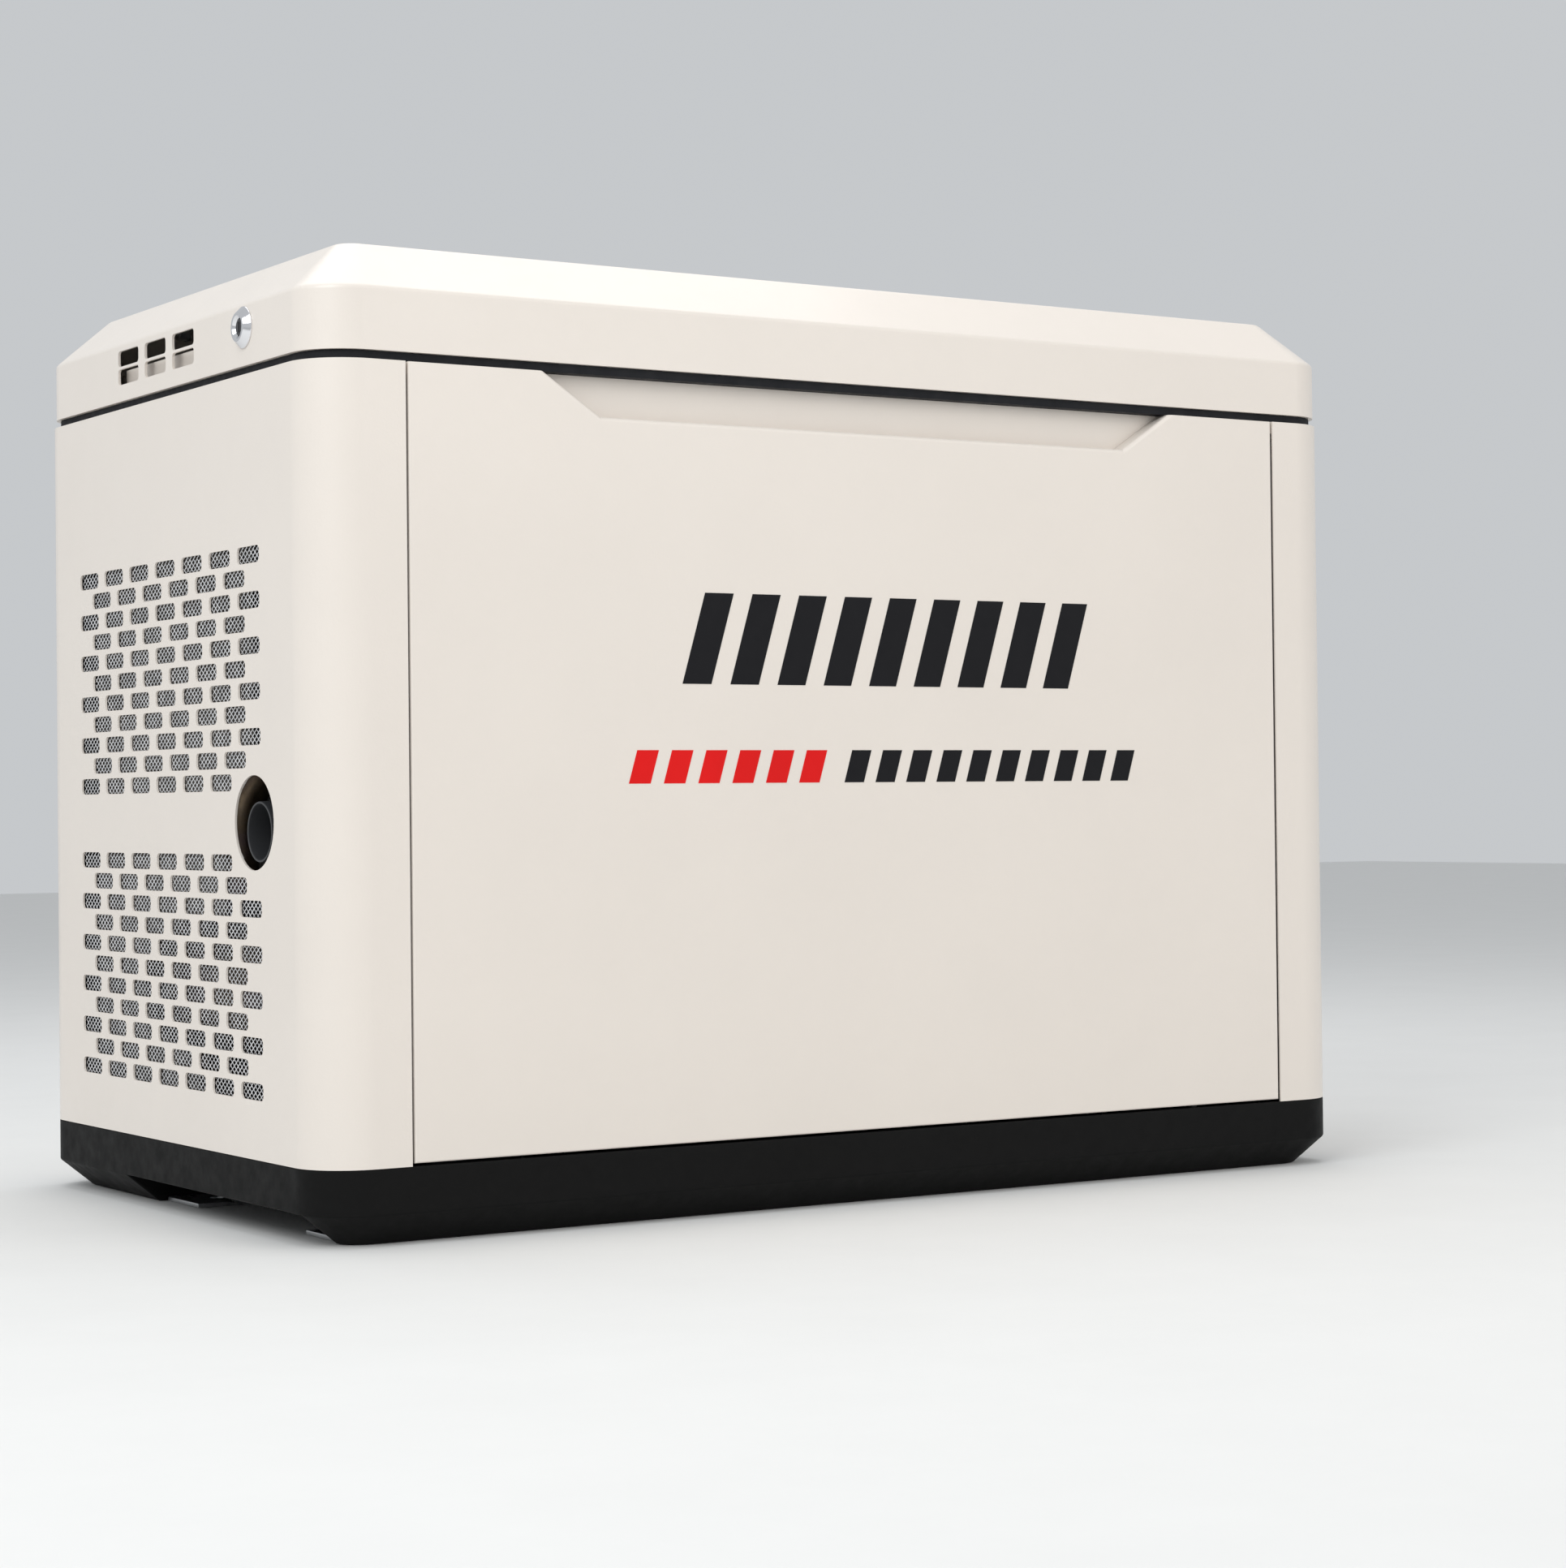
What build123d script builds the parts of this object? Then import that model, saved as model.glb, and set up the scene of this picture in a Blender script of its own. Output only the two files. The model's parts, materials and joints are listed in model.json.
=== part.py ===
from build123d import *
import math
import os

# Home standby generator: weatherproof housing on a base, V-twin gas engine with
# alternator inside.  Millimetres, +Z up, service door towards -Y, exhaust end -X.

# ---- driving sizes of the housing ----
BODY_LENGTH = 1150.0
BODY_WIDTH = 660.0
BASE_HEIGHT = 66.8
PANEL_TOP = 759.0
SEAL_HEIGHT = 8.0
LID_BAND = 54.5
LID_BEVEL_HEIGHT = 44.8
LID_BEVEL_INSET = 49.0
LID_INSET = 1.8
LID_WALL = 2.5
LID_EDGE = 6.0
CORNER_RADIUS = 52.0
SHEET = 2.0
CLEAR = 0.3
RUNNING = 0.05

# ---- hinges ----
HINGE_RADIUS = 5.0
HINGE_PIN_RADIUS = 2.5
HINGE_X = BODY_LENGTH / 2 - 195.0
HINGE_KNUCKLE = 24.0
HINGE_LEAF = 2.0
HINGE_LEAF_DROP = 34.0
LID_OPEN_ANGLE = 70.0

# ---- places that follow from them ----
DEPTH = BODY_WIDTH + 2 * HINGE_RADIUS
FRONT = -DEPTH / 2
BACK = FRONT + BODY_WIDTH
MID_Y = (FRONT + BACK) / 2
LEFT = -BODY_LENGTH / 2
RIGHT = BODY_LENGTH / 2
LID_BOTTOM = PANEL_TOP + SEAL_HEIGHT
LID_BEVEL_Z = LID_BOTTOM + LID_BAND
LID_TOP = LID_BEVEL_Z + LID_BEVEL_HEIGHT
HINGE_Y = BACK + HINGE_RADIUS
HINGE_Z = PANEL_TOP + SEAL_HEIGHT / 2

# ---- base ----
BASE_SKIRT_Z = 27.0
BASE_FOOT_INSET_X = 33.0
BASE_FOOT_INSET_Y = 25.0
BASE_WALL = 6.0
FLOOR = 6.0
FRONT_FOOT = 44.0
BACK_FOOT = 220.0
BASE_EDGE = 3.0
ANCHOR_X = RIGHT - 75.0
ANCHOR_SPACING = 316.0
ANCHOR_GAP = 4.0
ANCHOR_LENGTH = 70.0
ANCHOR_WIDTH = 74.0
ANCHOR_SHEET = 4.0
ANCHOR_HOLE = 7.0
FLOOR_Z = BASE_SKIRT_Z + FLOOR
CHANNEL_Y = (FRONT + FRONT_FOOT, BACK - BACK_FOOT)

# ---- door ----
DOOR_WIDTH = BODY_LENGTH - 176.0
DOOR_GAP = 2.5
DOOR_DEPTH = 20.0
RECESS_TOP_WIDTH = DOOR_WIDTH - 266.0
RECESS_SLOPE = 58.0
RECESS_DROP = 37.5
RECESS_RADIUS = 12.0
DOOR_EDGE = 1.8
RECESS_EDGE = 4.0

# ---- top frame, gasket and mesh ----
FRAME_DEPTH = 40.0
FRAME_HEIGHT = 12.0
RECESS_PANEL_DROP = 70.0
GASKET_INSET = 6.0
GASKET_WIDTH = 24.0
POST = 30.0
MESH_THICKNESS = 1.5

# ---- air slots in the end panels ----
SLOT_LENGTH = 48.0
SLOT_HEIGHT = 15.0
SLOT_CORNER = 5.0
SLOT_PITCH_Y = 63.9
SLOT_PITCH_Z = 20.05
SLOT_FIRST_Y = 196.0
SLOT_COLUMNS = 7
SLOT_ROWS = 11
UPPER_SLOT_Z = PANEL_TOP - 160.0
LOWER_SLOT_Z = 327.0
SLOT_MARGIN = 6.0
EXHAUST_Y = MID_Y - 196.3
EXHAUST_Z = 362.7
EXHAUST_HOLE = 42.0

# ---- lid vents and locks ----
VENT_LENGTH = 51.5
VENT_HEIGHT = 15.0
VENT_RADIUS = 4.0
VENT_PITCH_Y = 67.0
VENT_PITCH_Z = 17.5
VENT_Y = MID_Y + 27.3
VENT_Z = LID_BOTTOM + 32.0
LOCK_Y = MID_Y - 178.5
LOCK_Z = LID_BOTTOM + 34.0
LOCK_FLANGE = 18.7
LOCK_FRONT = 13.0
LOCK_PROUD = 6.8
LOCK_BODY = 11.0
LOCK_PLUG = 8.0
LOCK_REACH = 60.0
CAM_SHEET = 3.0
CAM_WIDTH = 16.0
CAM_LENGTH = 60.0
CAM_FOOT = 4.0
STRIKE_SHEET = 3.0
STRIKE_REACH = 21.0
STRIKE_GAP = 2.0

# ---- prop rod ----
ROD_RADIUS = 4.0
ROD_LENGTH = 400.0
ROD_INSET = 70.0
ROD_PIVOT_Y = BACK - 205.0
ROD_PIVOT_Z = LID_TOP - 26.0
ROD_PIN = 3.0
ROD_TIP_REACH = 20.0
EYE_HALF = ROD_RADIUS + 1.0
CATCH_INSET = 52.0

# ---- engine and alternator ----
CRANK_Z = 250.0
SHAFT_RADIUS = 20.0
CRADLE_Z = 63.0
CRADLE_HEIGHT = 20.0
CRADLE_RAIL = 40.0
CRADLE_X = (-290.0, 260.0)
CRADLE_Y = 130.0
MOUNT_RADIUS = 22.0
CASE_X = (-270.0, -30.0)
CASE_HALF = 95.0
CASE_DECK = 85.0
CASE_WALL = 10.0
CYLINDER_ANGLE = 45.0
CYLINDER_OFFSET = 15.0
CYLINDER_LENGTH = 110.0
BORE_RADIUS = 40.0
BARREL_RADIUS = 47.0
FIN_RADIUS = 62.0
FIN_COUNT = 9
HEAD_SIZE = 110.0
HEAD_HEIGHT = 45.0
COVER_HEIGHT = 28.0
PLUG_RADIUS = 8.0
PLUG_LENGTH = 42.0
FAN_X = (-345.0, -290.0)
FAN_RADIUS = 118.0
FAN_BLADES = 14
SHROUD_WALL = 2.5
SHROUD_RADIUS = 132.0
ALTERNATOR_X = (-30.0, 238.0)
ALTERNATOR_RADIUS = 125.0
ALTERNATOR_WALL = 5.0
STATOR_X = (20.0, 200.0)
STATOR_BORE = 80.0
AIR_GAP = 1.0
BEARING_RADIUS = 35.0
BEARING_WIDTH = 16.0
ENGINE_PARTITION_X = LEFT + 213.0
CONTROL_PARTITION_X = RIGHT - 285.0
PARTITION_TOP = PANEL_TOP - 23.0

# ---- exhaust ----
MUFFLER_X = LEFT + 135.0
MUFFLER_Z = 200.0
MUFFLER_RADIUS = 70.0
MUFFLER_WALL = 2.5
MUFFLER_Y = (FRONT + 80.0, BACK - 100.0)
HEADER_RADIUS = 16.0
HEADER_Y = 140.0
HEADER_Z = CRANK_Z + 167.0
HEADER_BEND = 60.0
TAIL_RADIUS = 27.0
TAIL_WALL = 2.5
TAIL_BEND = 45.0
TAIL_SHIFT = (-6.0, -8.0)
TAIL_RECESS = 12.0

# ---- fuel and intake ----
INLET_X = RIGHT - 145.0
INLET_Z = 170.0
INLET_BORE = 12.05
INLET_BODY = 20.0
INLET_DEPTH = 25.0
INLET_PROUD = 8.0
PIPE_RADIUS = 13.0
REGULATOR_Y = BACK - 90.0
REGULATOR_Z = 315.0
REGULATOR_RADIUS = 60.0
REGULATOR_HALF = 28.0
HOSE_RADIUS = 11.0
MIXER_X = -40.0
MIXER_Z = (395.0, 470.0)
MIXER_RADIUS = 30.0
CLEANER_SIZE = (180.0, 160.0, 90.0)
CLEANER_NECK = 30.0
CONDUIT_X = RIGHT - 245.0
CONDUIT_Z = 150.0
CONDUIT_RADIUS = 17.0

# ---- electrics ----
CONTROL_FACE = FRONT + 65.0
CONTROL_X = (CONTROL_PARTITION_X + SHEET, RIGHT - 35.0)
CONTROL_Z = (470.0, 690.0)
CONTROL_DEPTH = 150.0
CONTROL_WALL = 3.0
BUTTON_RADIUS = 9.0
BUTTON_PROUD = 4.0
BATTERY_SIZE = (200.0, 170.0, 190.0)
BATTERY_X = RIGHT - 155.0
BATTERY_Y = FRONT + 150.0


# ---- helpers: each adds to, or cuts from, the part being built ----
def block(x_span, y_span, z_span, mode=Mode.ADD):
    """A rectangular block between its limits."""
    with BuildSketch(Plane.XY.offset(z_span[0])) as face:
        with Locations(((x_span[0] + x_span[1]) / 2, (y_span[0] + y_span[1]) / 2)):
            Rectangle(x_span[1] - x_span[0], y_span[1] - y_span[0])
    extrude(face.sketch, z_span[1] - z_span[0], mode=mode)


def round_block(x_span, y_span, z_span, radius, mode=Mode.ADD):
    """A block with rounded vertical corners."""
    with BuildSketch(Plane.XY.offset(z_span[0])) as face:
        with Locations(((x_span[0] + x_span[1]) / 2, (y_span[0] + y_span[1]) / 2)):
            RectangleRounded(x_span[1] - x_span[0], y_span[1] - y_span[0], radius)
    extrude(face.sketch, z_span[1] - z_span[0], mode=mode)


def rod_x(x_span, y, z, radius, mode=Mode.ADD):
    """A round bar along X."""
    plane = Plane(origin=(x_span[0], y, z), x_dir=(0, 1, 0), z_dir=(1, 0, 0))
    with BuildSketch(plane) as face:
        Circle(radius)
    extrude(face.sketch, x_span[1] - x_span[0], mode=mode)


def rod_y(y_span, x, z, radius, mode=Mode.ADD):
    """A round bar along Y."""
    plane = Plane(origin=(x, y_span[0], z), x_dir=(1, 0, 0), z_dir=(0, 1, 0))
    with BuildSketch(plane) as face:
        Circle(radius)
    extrude(face.sketch, y_span[1] - y_span[0], mode=mode)


def rod_z(z_span, x, y, radius, mode=Mode.ADD):
    """A round bar along Z."""
    with BuildSketch(Plane.XY.offset(z_span[0])) as face:
        with Locations((x, y)):
            Circle(radius)
    extrude(face.sketch, z_span[1] - z_span[0], mode=mode)


def ring_x(x_span, y, z, outer, inner):
    """A tube along X with a through bore."""
    rod_x(x_span, y, z, outer)
    rod_x((x_span[0] - 1, x_span[1] + 1), y, z, inner, mode=Mode.SUBTRACT)


def body_prism(inset, z_span, mode=Mode.ADD):
    """The housing's rounded outline, inset all round, between two heights."""
    radius = max(CORNER_RADIUS - inset, 1.0)
    x_span = (LEFT + inset, RIGHT - inset)
    y_span = (FRONT + inset, BACK - inset)
    round_block(x_span, y_span, z_span, radius, mode=mode)


def finish(builder, label):
    """Labels the finished piece and writes its STEP file."""
    builder.part.label = label
    export_step(builder.part, "parts/" + label + ".step")


os.makedirs("parts", exist_ok=True)


# ---- base tray: vertical band over sloping feet, open channel under the floor ----
def make_base_tray():
    foot_x = BODY_LENGTH - 2 * BASE_FOOT_INSET_X
    foot_y = BODY_WIDTH - 2 * BASE_FOOT_INSET_Y
    with BuildPart() as base_tray:
        with BuildSketch(Plane.XY):
            with Locations((0, MID_Y)):
                RectangleRounded(foot_x, foot_y, CORNER_RADIUS - BASE_FOOT_INSET_Y)
        with BuildSketch(Plane.XY.offset(BASE_SKIRT_Z)):
            with Locations((0, MID_Y)):
                RectangleRounded(BODY_LENGTH, BODY_WIDTH, CORNER_RADIUS)
        loft(ruled=True)
        body_prism(0, (BASE_SKIRT_Z, BASE_HEIGHT))
        top_edges = base_tray.edges().group_by(Axis.Z)[-1]
        fillet(top_edges, radius=BASE_EDGE / 2)
        body_prism(BASE_WALL, (FLOOR_Z, BASE_HEIGHT + 1), mode=Mode.SUBTRACT)
        block((LEFT - 1, RIGHT + 1), CHANNEL_Y, (-1, BASE_SKIRT_Z), mode=Mode.SUBTRACT)
    finish(base_tray, "base_tray")


# ---- four pressed brackets under the floor, drilled for anchor bolts ----
def make_anchor_brackets():
    with BuildPart() as anchor_brackets:
        for side in (-1, 1):
            for back_row in (0, 1):
                x_mid = side * ANCHOR_X
                y_mid = CHANNEL_Y[1] - ANCHOR_GAP - ANCHOR_WIDTH / 2 - back_row * ANCHOR_SPACING
                x_span = (x_mid - ANCHOR_LENGTH / 2, x_mid + ANCHOR_LENGTH / 2)
                y_span = (y_mid - ANCHOR_WIDTH / 2, y_mid + ANCHOR_WIDTH / 2)
                block(x_span, y_span, (0, ANCHOR_SHEET))
                wall_x = sorted((x_mid - side * ANCHOR_LENGTH / 2,
                                 x_mid - side * (ANCHOR_LENGTH / 2 - ANCHOR_SHEET)))
                block(wall_x, y_span, (ANCHOR_SHEET, BASE_SKIRT_Z))
                flange_x = sorted((x_mid - side * ANCHOR_LENGTH / 2, x_mid - side * ANCHOR_SHEET))
                block(flange_x, y_span, (BASE_SKIRT_Z - ANCHOR_SHEET, BASE_SKIRT_Z))
                rod_z((-1, ANCHOR_SHEET + 1), x_mid, y_mid, ANCHOR_HOLE, mode=Mode.SUBTRACT)
    finish(anchor_brackets, "anchor_brackets")


def slot_places(first_z, hole_side):
    """Centres (y, z) of one group of staggered slots, clear of the exhaust hole."""
    places = []
    for row in range(SLOT_ROWS):
        # the columns beside the exhaust hole lose the slots that would cut into it
        offset_row = row % 2 == 1
        count = SLOT_COLUMNS - 1 if offset_row else SLOT_COLUMNS
        start = SLOT_FIRST_Y - (SLOT_PITCH_Y / 2 if offset_row else 0)
        z = first_z - row * SLOT_PITCH_Z
        for column in range(count):
            y = MID_Y + start - column * SLOT_PITCH_Y
            away_y = max(abs(y - EXHAUST_Y) - SLOT_LENGTH / 2, 0)
            away_z = max(abs(z - EXHAUST_Z) - SLOT_HEIGHT / 2, 0)
            if hole_side and math.hypot(away_y, away_z) < EXHAUST_HOLE + SLOT_MARGIN:
                continue
            places.append((y, z))
    return places


# ---- end panels: sheet wrapped round two corners, slotted for cooling air ----
def make_end_panel(side, label):
    seam = DOOR_WIDTH / 2 + DOOR_GAP
    end_x = side * BODY_LENGTH / 2
    with BuildPart() as end_panel:
        body_prism(0, (BASE_HEIGHT, PANEL_TOP))
        body_prism(SHEET, (BASE_HEIGHT - 1, PANEL_TOP + 1), mode=Mode.SUBTRACT)
        cut_x = sorted((side * seam, -end_x - side))
        block(cut_x, (FRONT - 1, BACK + 1), (BASE_HEIGHT - 1, PANEL_TOP + 1), mode=Mode.SUBTRACT)
        cut_plane = Plane(origin=(end_x + side, 0, 0), x_dir=(0, 1, 0), z_dir=(1, 0, 0))
        places = slot_places(UPPER_SLOT_Z, side < 0) + slot_places(LOWER_SLOT_Z, side < 0)
        with BuildSketch(cut_plane):
            with Locations(*places):
                RectangleRounded(SLOT_LENGTH, SLOT_HEIGHT, SLOT_CORNER)
            if side < 0:
                with Locations((EXHAUST_Y, EXHAUST_Z)):
                    Circle(EXHAUST_HOLE)
        extrude(amount=-side * 2 * SHEET, mode=Mode.SUBTRACT)
    finish(end_panel, label)


# ---- back panel with holes for the gas inlet and the conduit ----
def make_back_panel():
    seam = DOOR_WIDTH / 2 + DOOR_GAP - CLEAR
    with BuildPart() as back_panel:
        block((-seam, seam), (BACK - SHEET, BACK), (BASE_HEIGHT, PANEL_TOP))
        y_cut = (BACK - 2 * SHEET, BACK + SHEET)
        rod_y(y_cut, INLET_X, INLET_Z, INLET_BODY + CLEAR, mode=Mode.SUBTRACT)
        rod_y(y_cut, CONDUIT_X, CONDUIT_Z, CONDUIT_RADIUS, mode=Mode.SUBTRACT)
    finish(back_panel, "back_panel")


def door_outline(grow):
    """Door face outline (x, z) with its hand recess, grown or shrunk."""
    half = DOOR_WIDTH / 2
    bottom = BASE_HEIGHT + DOOR_GAP
    top = PANEL_TOP - CLEAR
    recess_half = RECESS_TOP_WIDTH / 2
    flat_half = recess_half - RECESS_SLOPE
    with BuildSketch(Plane(origin=(0, FRONT, 0), x_dir=(1, 0, 0), z_dir=(0, -1, 0))) as face:
        with BuildLine():
            Polyline((-half, bottom), (half, bottom), (half, top), (recess_half, top),
                     (flat_half, top - RECESS_DROP), (-flat_half, top - RECESS_DROP),
                     (-recess_half, top), (-half, top), close=True)
        make_face()
        corners = face.vertices().filter_by_position(
            Axis.Z, top - RECESS_DROP - 1, top - RECESS_DROP + 1)
        fillet(corners, radius=RECESS_RADIUS)
        if grow:
            offset(amount=grow, kind=Kind.INTERSECTION)
    return face.sketch


# ---- front door: lift-off panel with turned edges and a sloping hand recess ----
def make_front_door():
    outline = door_outline(0)
    hollow = door_outline(-SHEET)
    with BuildPart() as front_door:
        extrude(outline, amount=-(DOOR_DEPTH - CLEAR))
        front_edges = front_door.faces().sort_by(Axis.Y)[0].edges()
        recess_low = PANEL_TOP - CLEAR - RECESS_DROP
        half = RECESS_TOP_WIDTH / 2
        recess = front_edges.filter_by_position(Axis.Z, recess_low - 1, PANEL_TOP)
        recess = recess.filter_by_position(Axis.X, -half - 1, half + 1)
        fillet(recess, radius=RECESS_EDGE)
        face = front_door.faces().sort_by(Axis.Y)[0]
        straight = face.edges().filter_by(Axis.Z) + face.edges().filter_by_position(
            Axis.Z, BASE_HEIGHT, BASE_HEIGHT + DOOR_GAP + 1)
        fillet(straight, radius=DOOR_EDGE)
        extrude(hollow.moved(Location((0, SHEET, 0))), amount=-DOOR_DEPTH, mode=Mode.SUBTRACT)
    finish(front_door, "front_door")


# ---- top frame: rim that carries the gasket, set back behind the door recess ----
def make_top_frame():
    seam = DOOR_WIDTH / 2 + DOOR_GAP
    with BuildPart() as top_frame:
        body_prism(SHEET + CLEAR, (PANEL_TOP - FRAME_HEIGHT, PANEL_TOP))
        body_prism(FRAME_DEPTH, (0, LID_TOP), mode=Mode.SUBTRACT)
        block((-seam, seam), (FRONT - 1, FRONT + DOOR_DEPTH), (0, LID_TOP), mode=Mode.SUBTRACT)
        skirt_y = (FRONT + DOOR_DEPTH, FRONT + DOOR_DEPTH + SHEET)
        block((-seam, seam), skirt_y, (PANEL_TOP - RECESS_PANEL_DROP, PANEL_TOP - FRAME_HEIGHT))
    finish(top_frame, "top_frame")


# ---- four angle posts that stand on the floor and carry the top frame ----
def make_corner_posts():
    inset = SHEET + CLEAR + CORNER_RADIUS * 0.35
    z_span = (FLOOR_Z, PANEL_TOP - FRAME_HEIGHT)
    with BuildPart() as corner_posts:
        for side in (-1, 1):
            for row in (-1, 1):
                x_out = side * (BODY_LENGTH / 2 - inset)
                y_out = MID_Y + row * (BODY_WIDTH / 2 - inset)
                x_span = sorted((x_out, x_out - side * POST))
                y_span = sorted((y_out, y_out - row * POST))
                x_thin = sorted((x_out, x_out - side * SHEET))
                y_thin = sorted((y_out, y_out - row * SHEET))
                block(x_span, y_thin, z_span)
                block(x_thin, y_span, z_span)
    finish(corner_posts, "corner_posts")


# ---- rubber gasket between the frame and the lid ----
def make_rim_gasket():
    z_span = (PANEL_TOP, LID_BOTTOM - CLEAR)
    with BuildPart() as rim_gasket:
        body_prism(GASKET_INSET, z_span)
        body_prism(GASKET_INSET + GASKET_WIDTH, (0, LID_TOP), mode=Mode.SUBTRACT)
    finish(rim_gasket, "rim_gasket")


# ---- mesh sheets behind the end slots ----
def make_mesh(side, label):
    face_x = side * (BODY_LENGTH / 2 - SHEET - CLEAR)
    x_span = sorted((face_x, face_x - side * MESH_THICKNESS))
    y_half = SLOT_FIRST_Y + SLOT_LENGTH / 2 + SLOT_MARGIN
    height = (SLOT_ROWS - 1) * SLOT_PITCH_Z + SLOT_HEIGHT + 2 * SLOT_MARGIN
    with BuildPart() as mesh:
        for first_z in (UPPER_SLOT_Z, LOWER_SLOT_Z):
            top = first_z + SLOT_HEIGHT / 2 + SLOT_MARGIN
            block(x_span, (MID_Y - y_half, MID_Y + y_half), (top - height, top))
        if side < 0:
            cut = sorted((face_x + side, face_x - side * 2 * MESH_THICKNESS))
            rod_x(cut, EXHAUST_Y, EXHAUST_Z, EXHAUST_HOLE + CLEAR, mode=Mode.SUBTRACT)
    finish(mesh, label)


def lid_shell(inset, bottom, top_z, mode=Mode.ADD):
    """Lid form: straight band and sloping shoulders up to a flat top."""
    length = BODY_LENGTH - 2 * inset
    width = BODY_WIDTH - 2 * inset
    shoulder = LID_BEVEL_INSET * 2
    top_radius = CORNER_RADIUS / 3
    bevel_z = LID_BEVEL_Z - (inset - LID_INSET) * 0.4
    body_prism(inset, (bottom, bevel_z), mode=mode)
    with BuildSketch(Plane.XY.offset(bevel_z)) as low:
        with Locations((0, MID_Y)):
            RectangleRounded(length, width, CORNER_RADIUS - inset)
    with BuildSketch(Plane.XY.offset(top_z)) as high:
        with Locations((0, MID_Y)):
            RectangleRounded(length - shoulder, width - shoulder, top_radius)
    loft([low.sketch.face(), high.sketch.face()], ruled=True, mode=mode)


# ---- lid: pressed shell with a gasket flange, end vents and lock holes ----
def make_lid():
    with BuildPart() as lid:
        lid_shell(LID_INSET, LID_BOTTOM, LID_TOP)
        for level in (LID_BEVEL_Z, LID_TOP):
            ring = lid.edges().filter_by_position(Axis.Z, level - 0.01, level + 0.01)
            fillet(ring, radius=LID_EDGE)
        lid_shell(LID_INSET + LID_WALL, LID_BOTTOM + LID_WALL, LID_TOP - LID_WALL, Mode.SUBTRACT)
        flange = GASKET_INSET + GASKET_WIDTH
        body_prism(flange, (LID_BOTTOM - 1, LID_BOTTOM + LID_WALL + 1), mode=Mode.SUBTRACT)
        for side in (-1, 1):
            plane = Plane(origin=(side * (BODY_LENGTH / 2 + 1), 0, 0), x_dir=(0, 1, 0),
                          z_dir=(1, 0, 0))
            with BuildSketch(plane) as cuts:
                with Locations((VENT_Y, VENT_Z)):
                    with GridLocations(VENT_PITCH_Y, VENT_PITCH_Z, 3, 2):
                        RectangleRounded(VENT_LENGTH, VENT_HEIGHT, VENT_RADIUS)
                with Locations((LOCK_Y, LOCK_Z)):
                    Circle(LOCK_BODY)
            extrude(cuts.sketch, -side * (LID_INSET + LID_WALL + 3), mode=Mode.SUBTRACT)
    finish(lid, "lid")


# ---- rain baffles behind the lower row of lid vents ----
def make_lid_baffles():
    baffle_gap = 9.0
    half = VENT_PITCH_Y + VENT_LENGTH / 2 + 8
    with BuildPart() as lid_baffles:
        for side in (-1, 1):
            wall_x = side * (BODY_LENGTH / 2 - LID_INSET - LID_WALL)
            plate_x = wall_x - side * baffle_gap
            y_span = (VENT_Y - half, VENT_Y + half)
            bottom = LID_BOTTOM + LID_WALL
            x_plate = sorted((plate_x, plate_x - side * SHEET))
            block(x_plate, y_span, (bottom, VENT_Z))
    finish(lid_baffles, "lid_baffles")


def knuckle_spans(x_mid):
    """The body, lid and body knuckles of one hinge, along X."""
    low = x_mid - HINGE_KNUCKLE * 1.5
    cells = []
    for index in range(3):
        start = low + index * HINGE_KNUCKLE
        cells.append((start + CLEAR, start + HINGE_KNUCKLE - CLEAR))
    return cells


# ---- hinge leaves screwed to the back panel ----
def make_body_hinge_leaves():
    with BuildPart() as body_hinge_leaves:
        for x_mid in (-HINGE_X, HINGE_X):
            cells = knuckle_spans(x_mid)
            x_span = (cells[0][0], cells[2][1])
            low_z = PANEL_TOP - HINGE_LEAF_DROP
            block(x_span, (BACK, BACK + HINGE_LEAF), (low_z, HINGE_Z - HINGE_RADIUS - 1.5))
            for cell in (cells[0], cells[2]):
                block(cell, (BACK, BACK + HINGE_LEAF), (low_z, HINGE_Z))
                rod_x(cell, HINGE_Y, HINGE_Z, HINGE_RADIUS)
            for cell in (cells[0], cells[2]):
                cut = (cell[0] - 1, cell[1] + 1)
                rod_x(cut, HINGE_Y, HINGE_Z, HINGE_PIN_RADIUS + RUNNING, mode=Mode.SUBTRACT)
    finish(body_hinge_leaves, "body_hinge_leaves")


# ---- hinge leaves fixed to the lid ----
def make_lid_hinge_leaves():
    with BuildPart() as lid_hinge_leaves:
        for x_mid in (-HINGE_X, HINGE_X):
            cells = knuckle_spans(x_mid)
            y_leaf = (BACK - LID_INSET, BACK + HINGE_LEAF)
            x_span = (cells[0][0], cells[2][1])
            clear_z = HINGE_Z + HINGE_RADIUS + 2
            block(x_span, y_leaf, (clear_z, clear_z + HINGE_LEAF_DROP))
            block(cells[1], y_leaf, (HINGE_Z, clear_z))
            rod_x(cells[1], HINGE_Y, HINGE_Z, HINGE_RADIUS)
            cut = (cells[1][0] - 1, cells[1][1] + 1)
            rod_x(cut, HINGE_Y, HINGE_Z, HINGE_PIN_RADIUS + RUNNING, mode=Mode.SUBTRACT)
    finish(lid_hinge_leaves, "lid_hinge_leaves")


# ---- headed hinge pins ----
def make_hinge_pins():
    head = 1.5
    with BuildPart() as hinge_pins:
        for x_mid in (-HINGE_X, HINGE_X):
            cells = knuckle_spans(x_mid)
            ends = (cells[0][0] - CLEAR, cells[2][1] + CLEAR)
            rod_x(ends, HINGE_Y, HINGE_Z, HINGE_PIN_RADIUS)
            rod_x((ends[0] - head, ends[0]), HINGE_Y, HINGE_Z, HINGE_RADIUS - 1)
            rod_x((ends[1], ends[1] + head), HINGE_Y, HINGE_Z, HINGE_RADIUS - 1)
    finish(hinge_pins, "hinge_pins")


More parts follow.
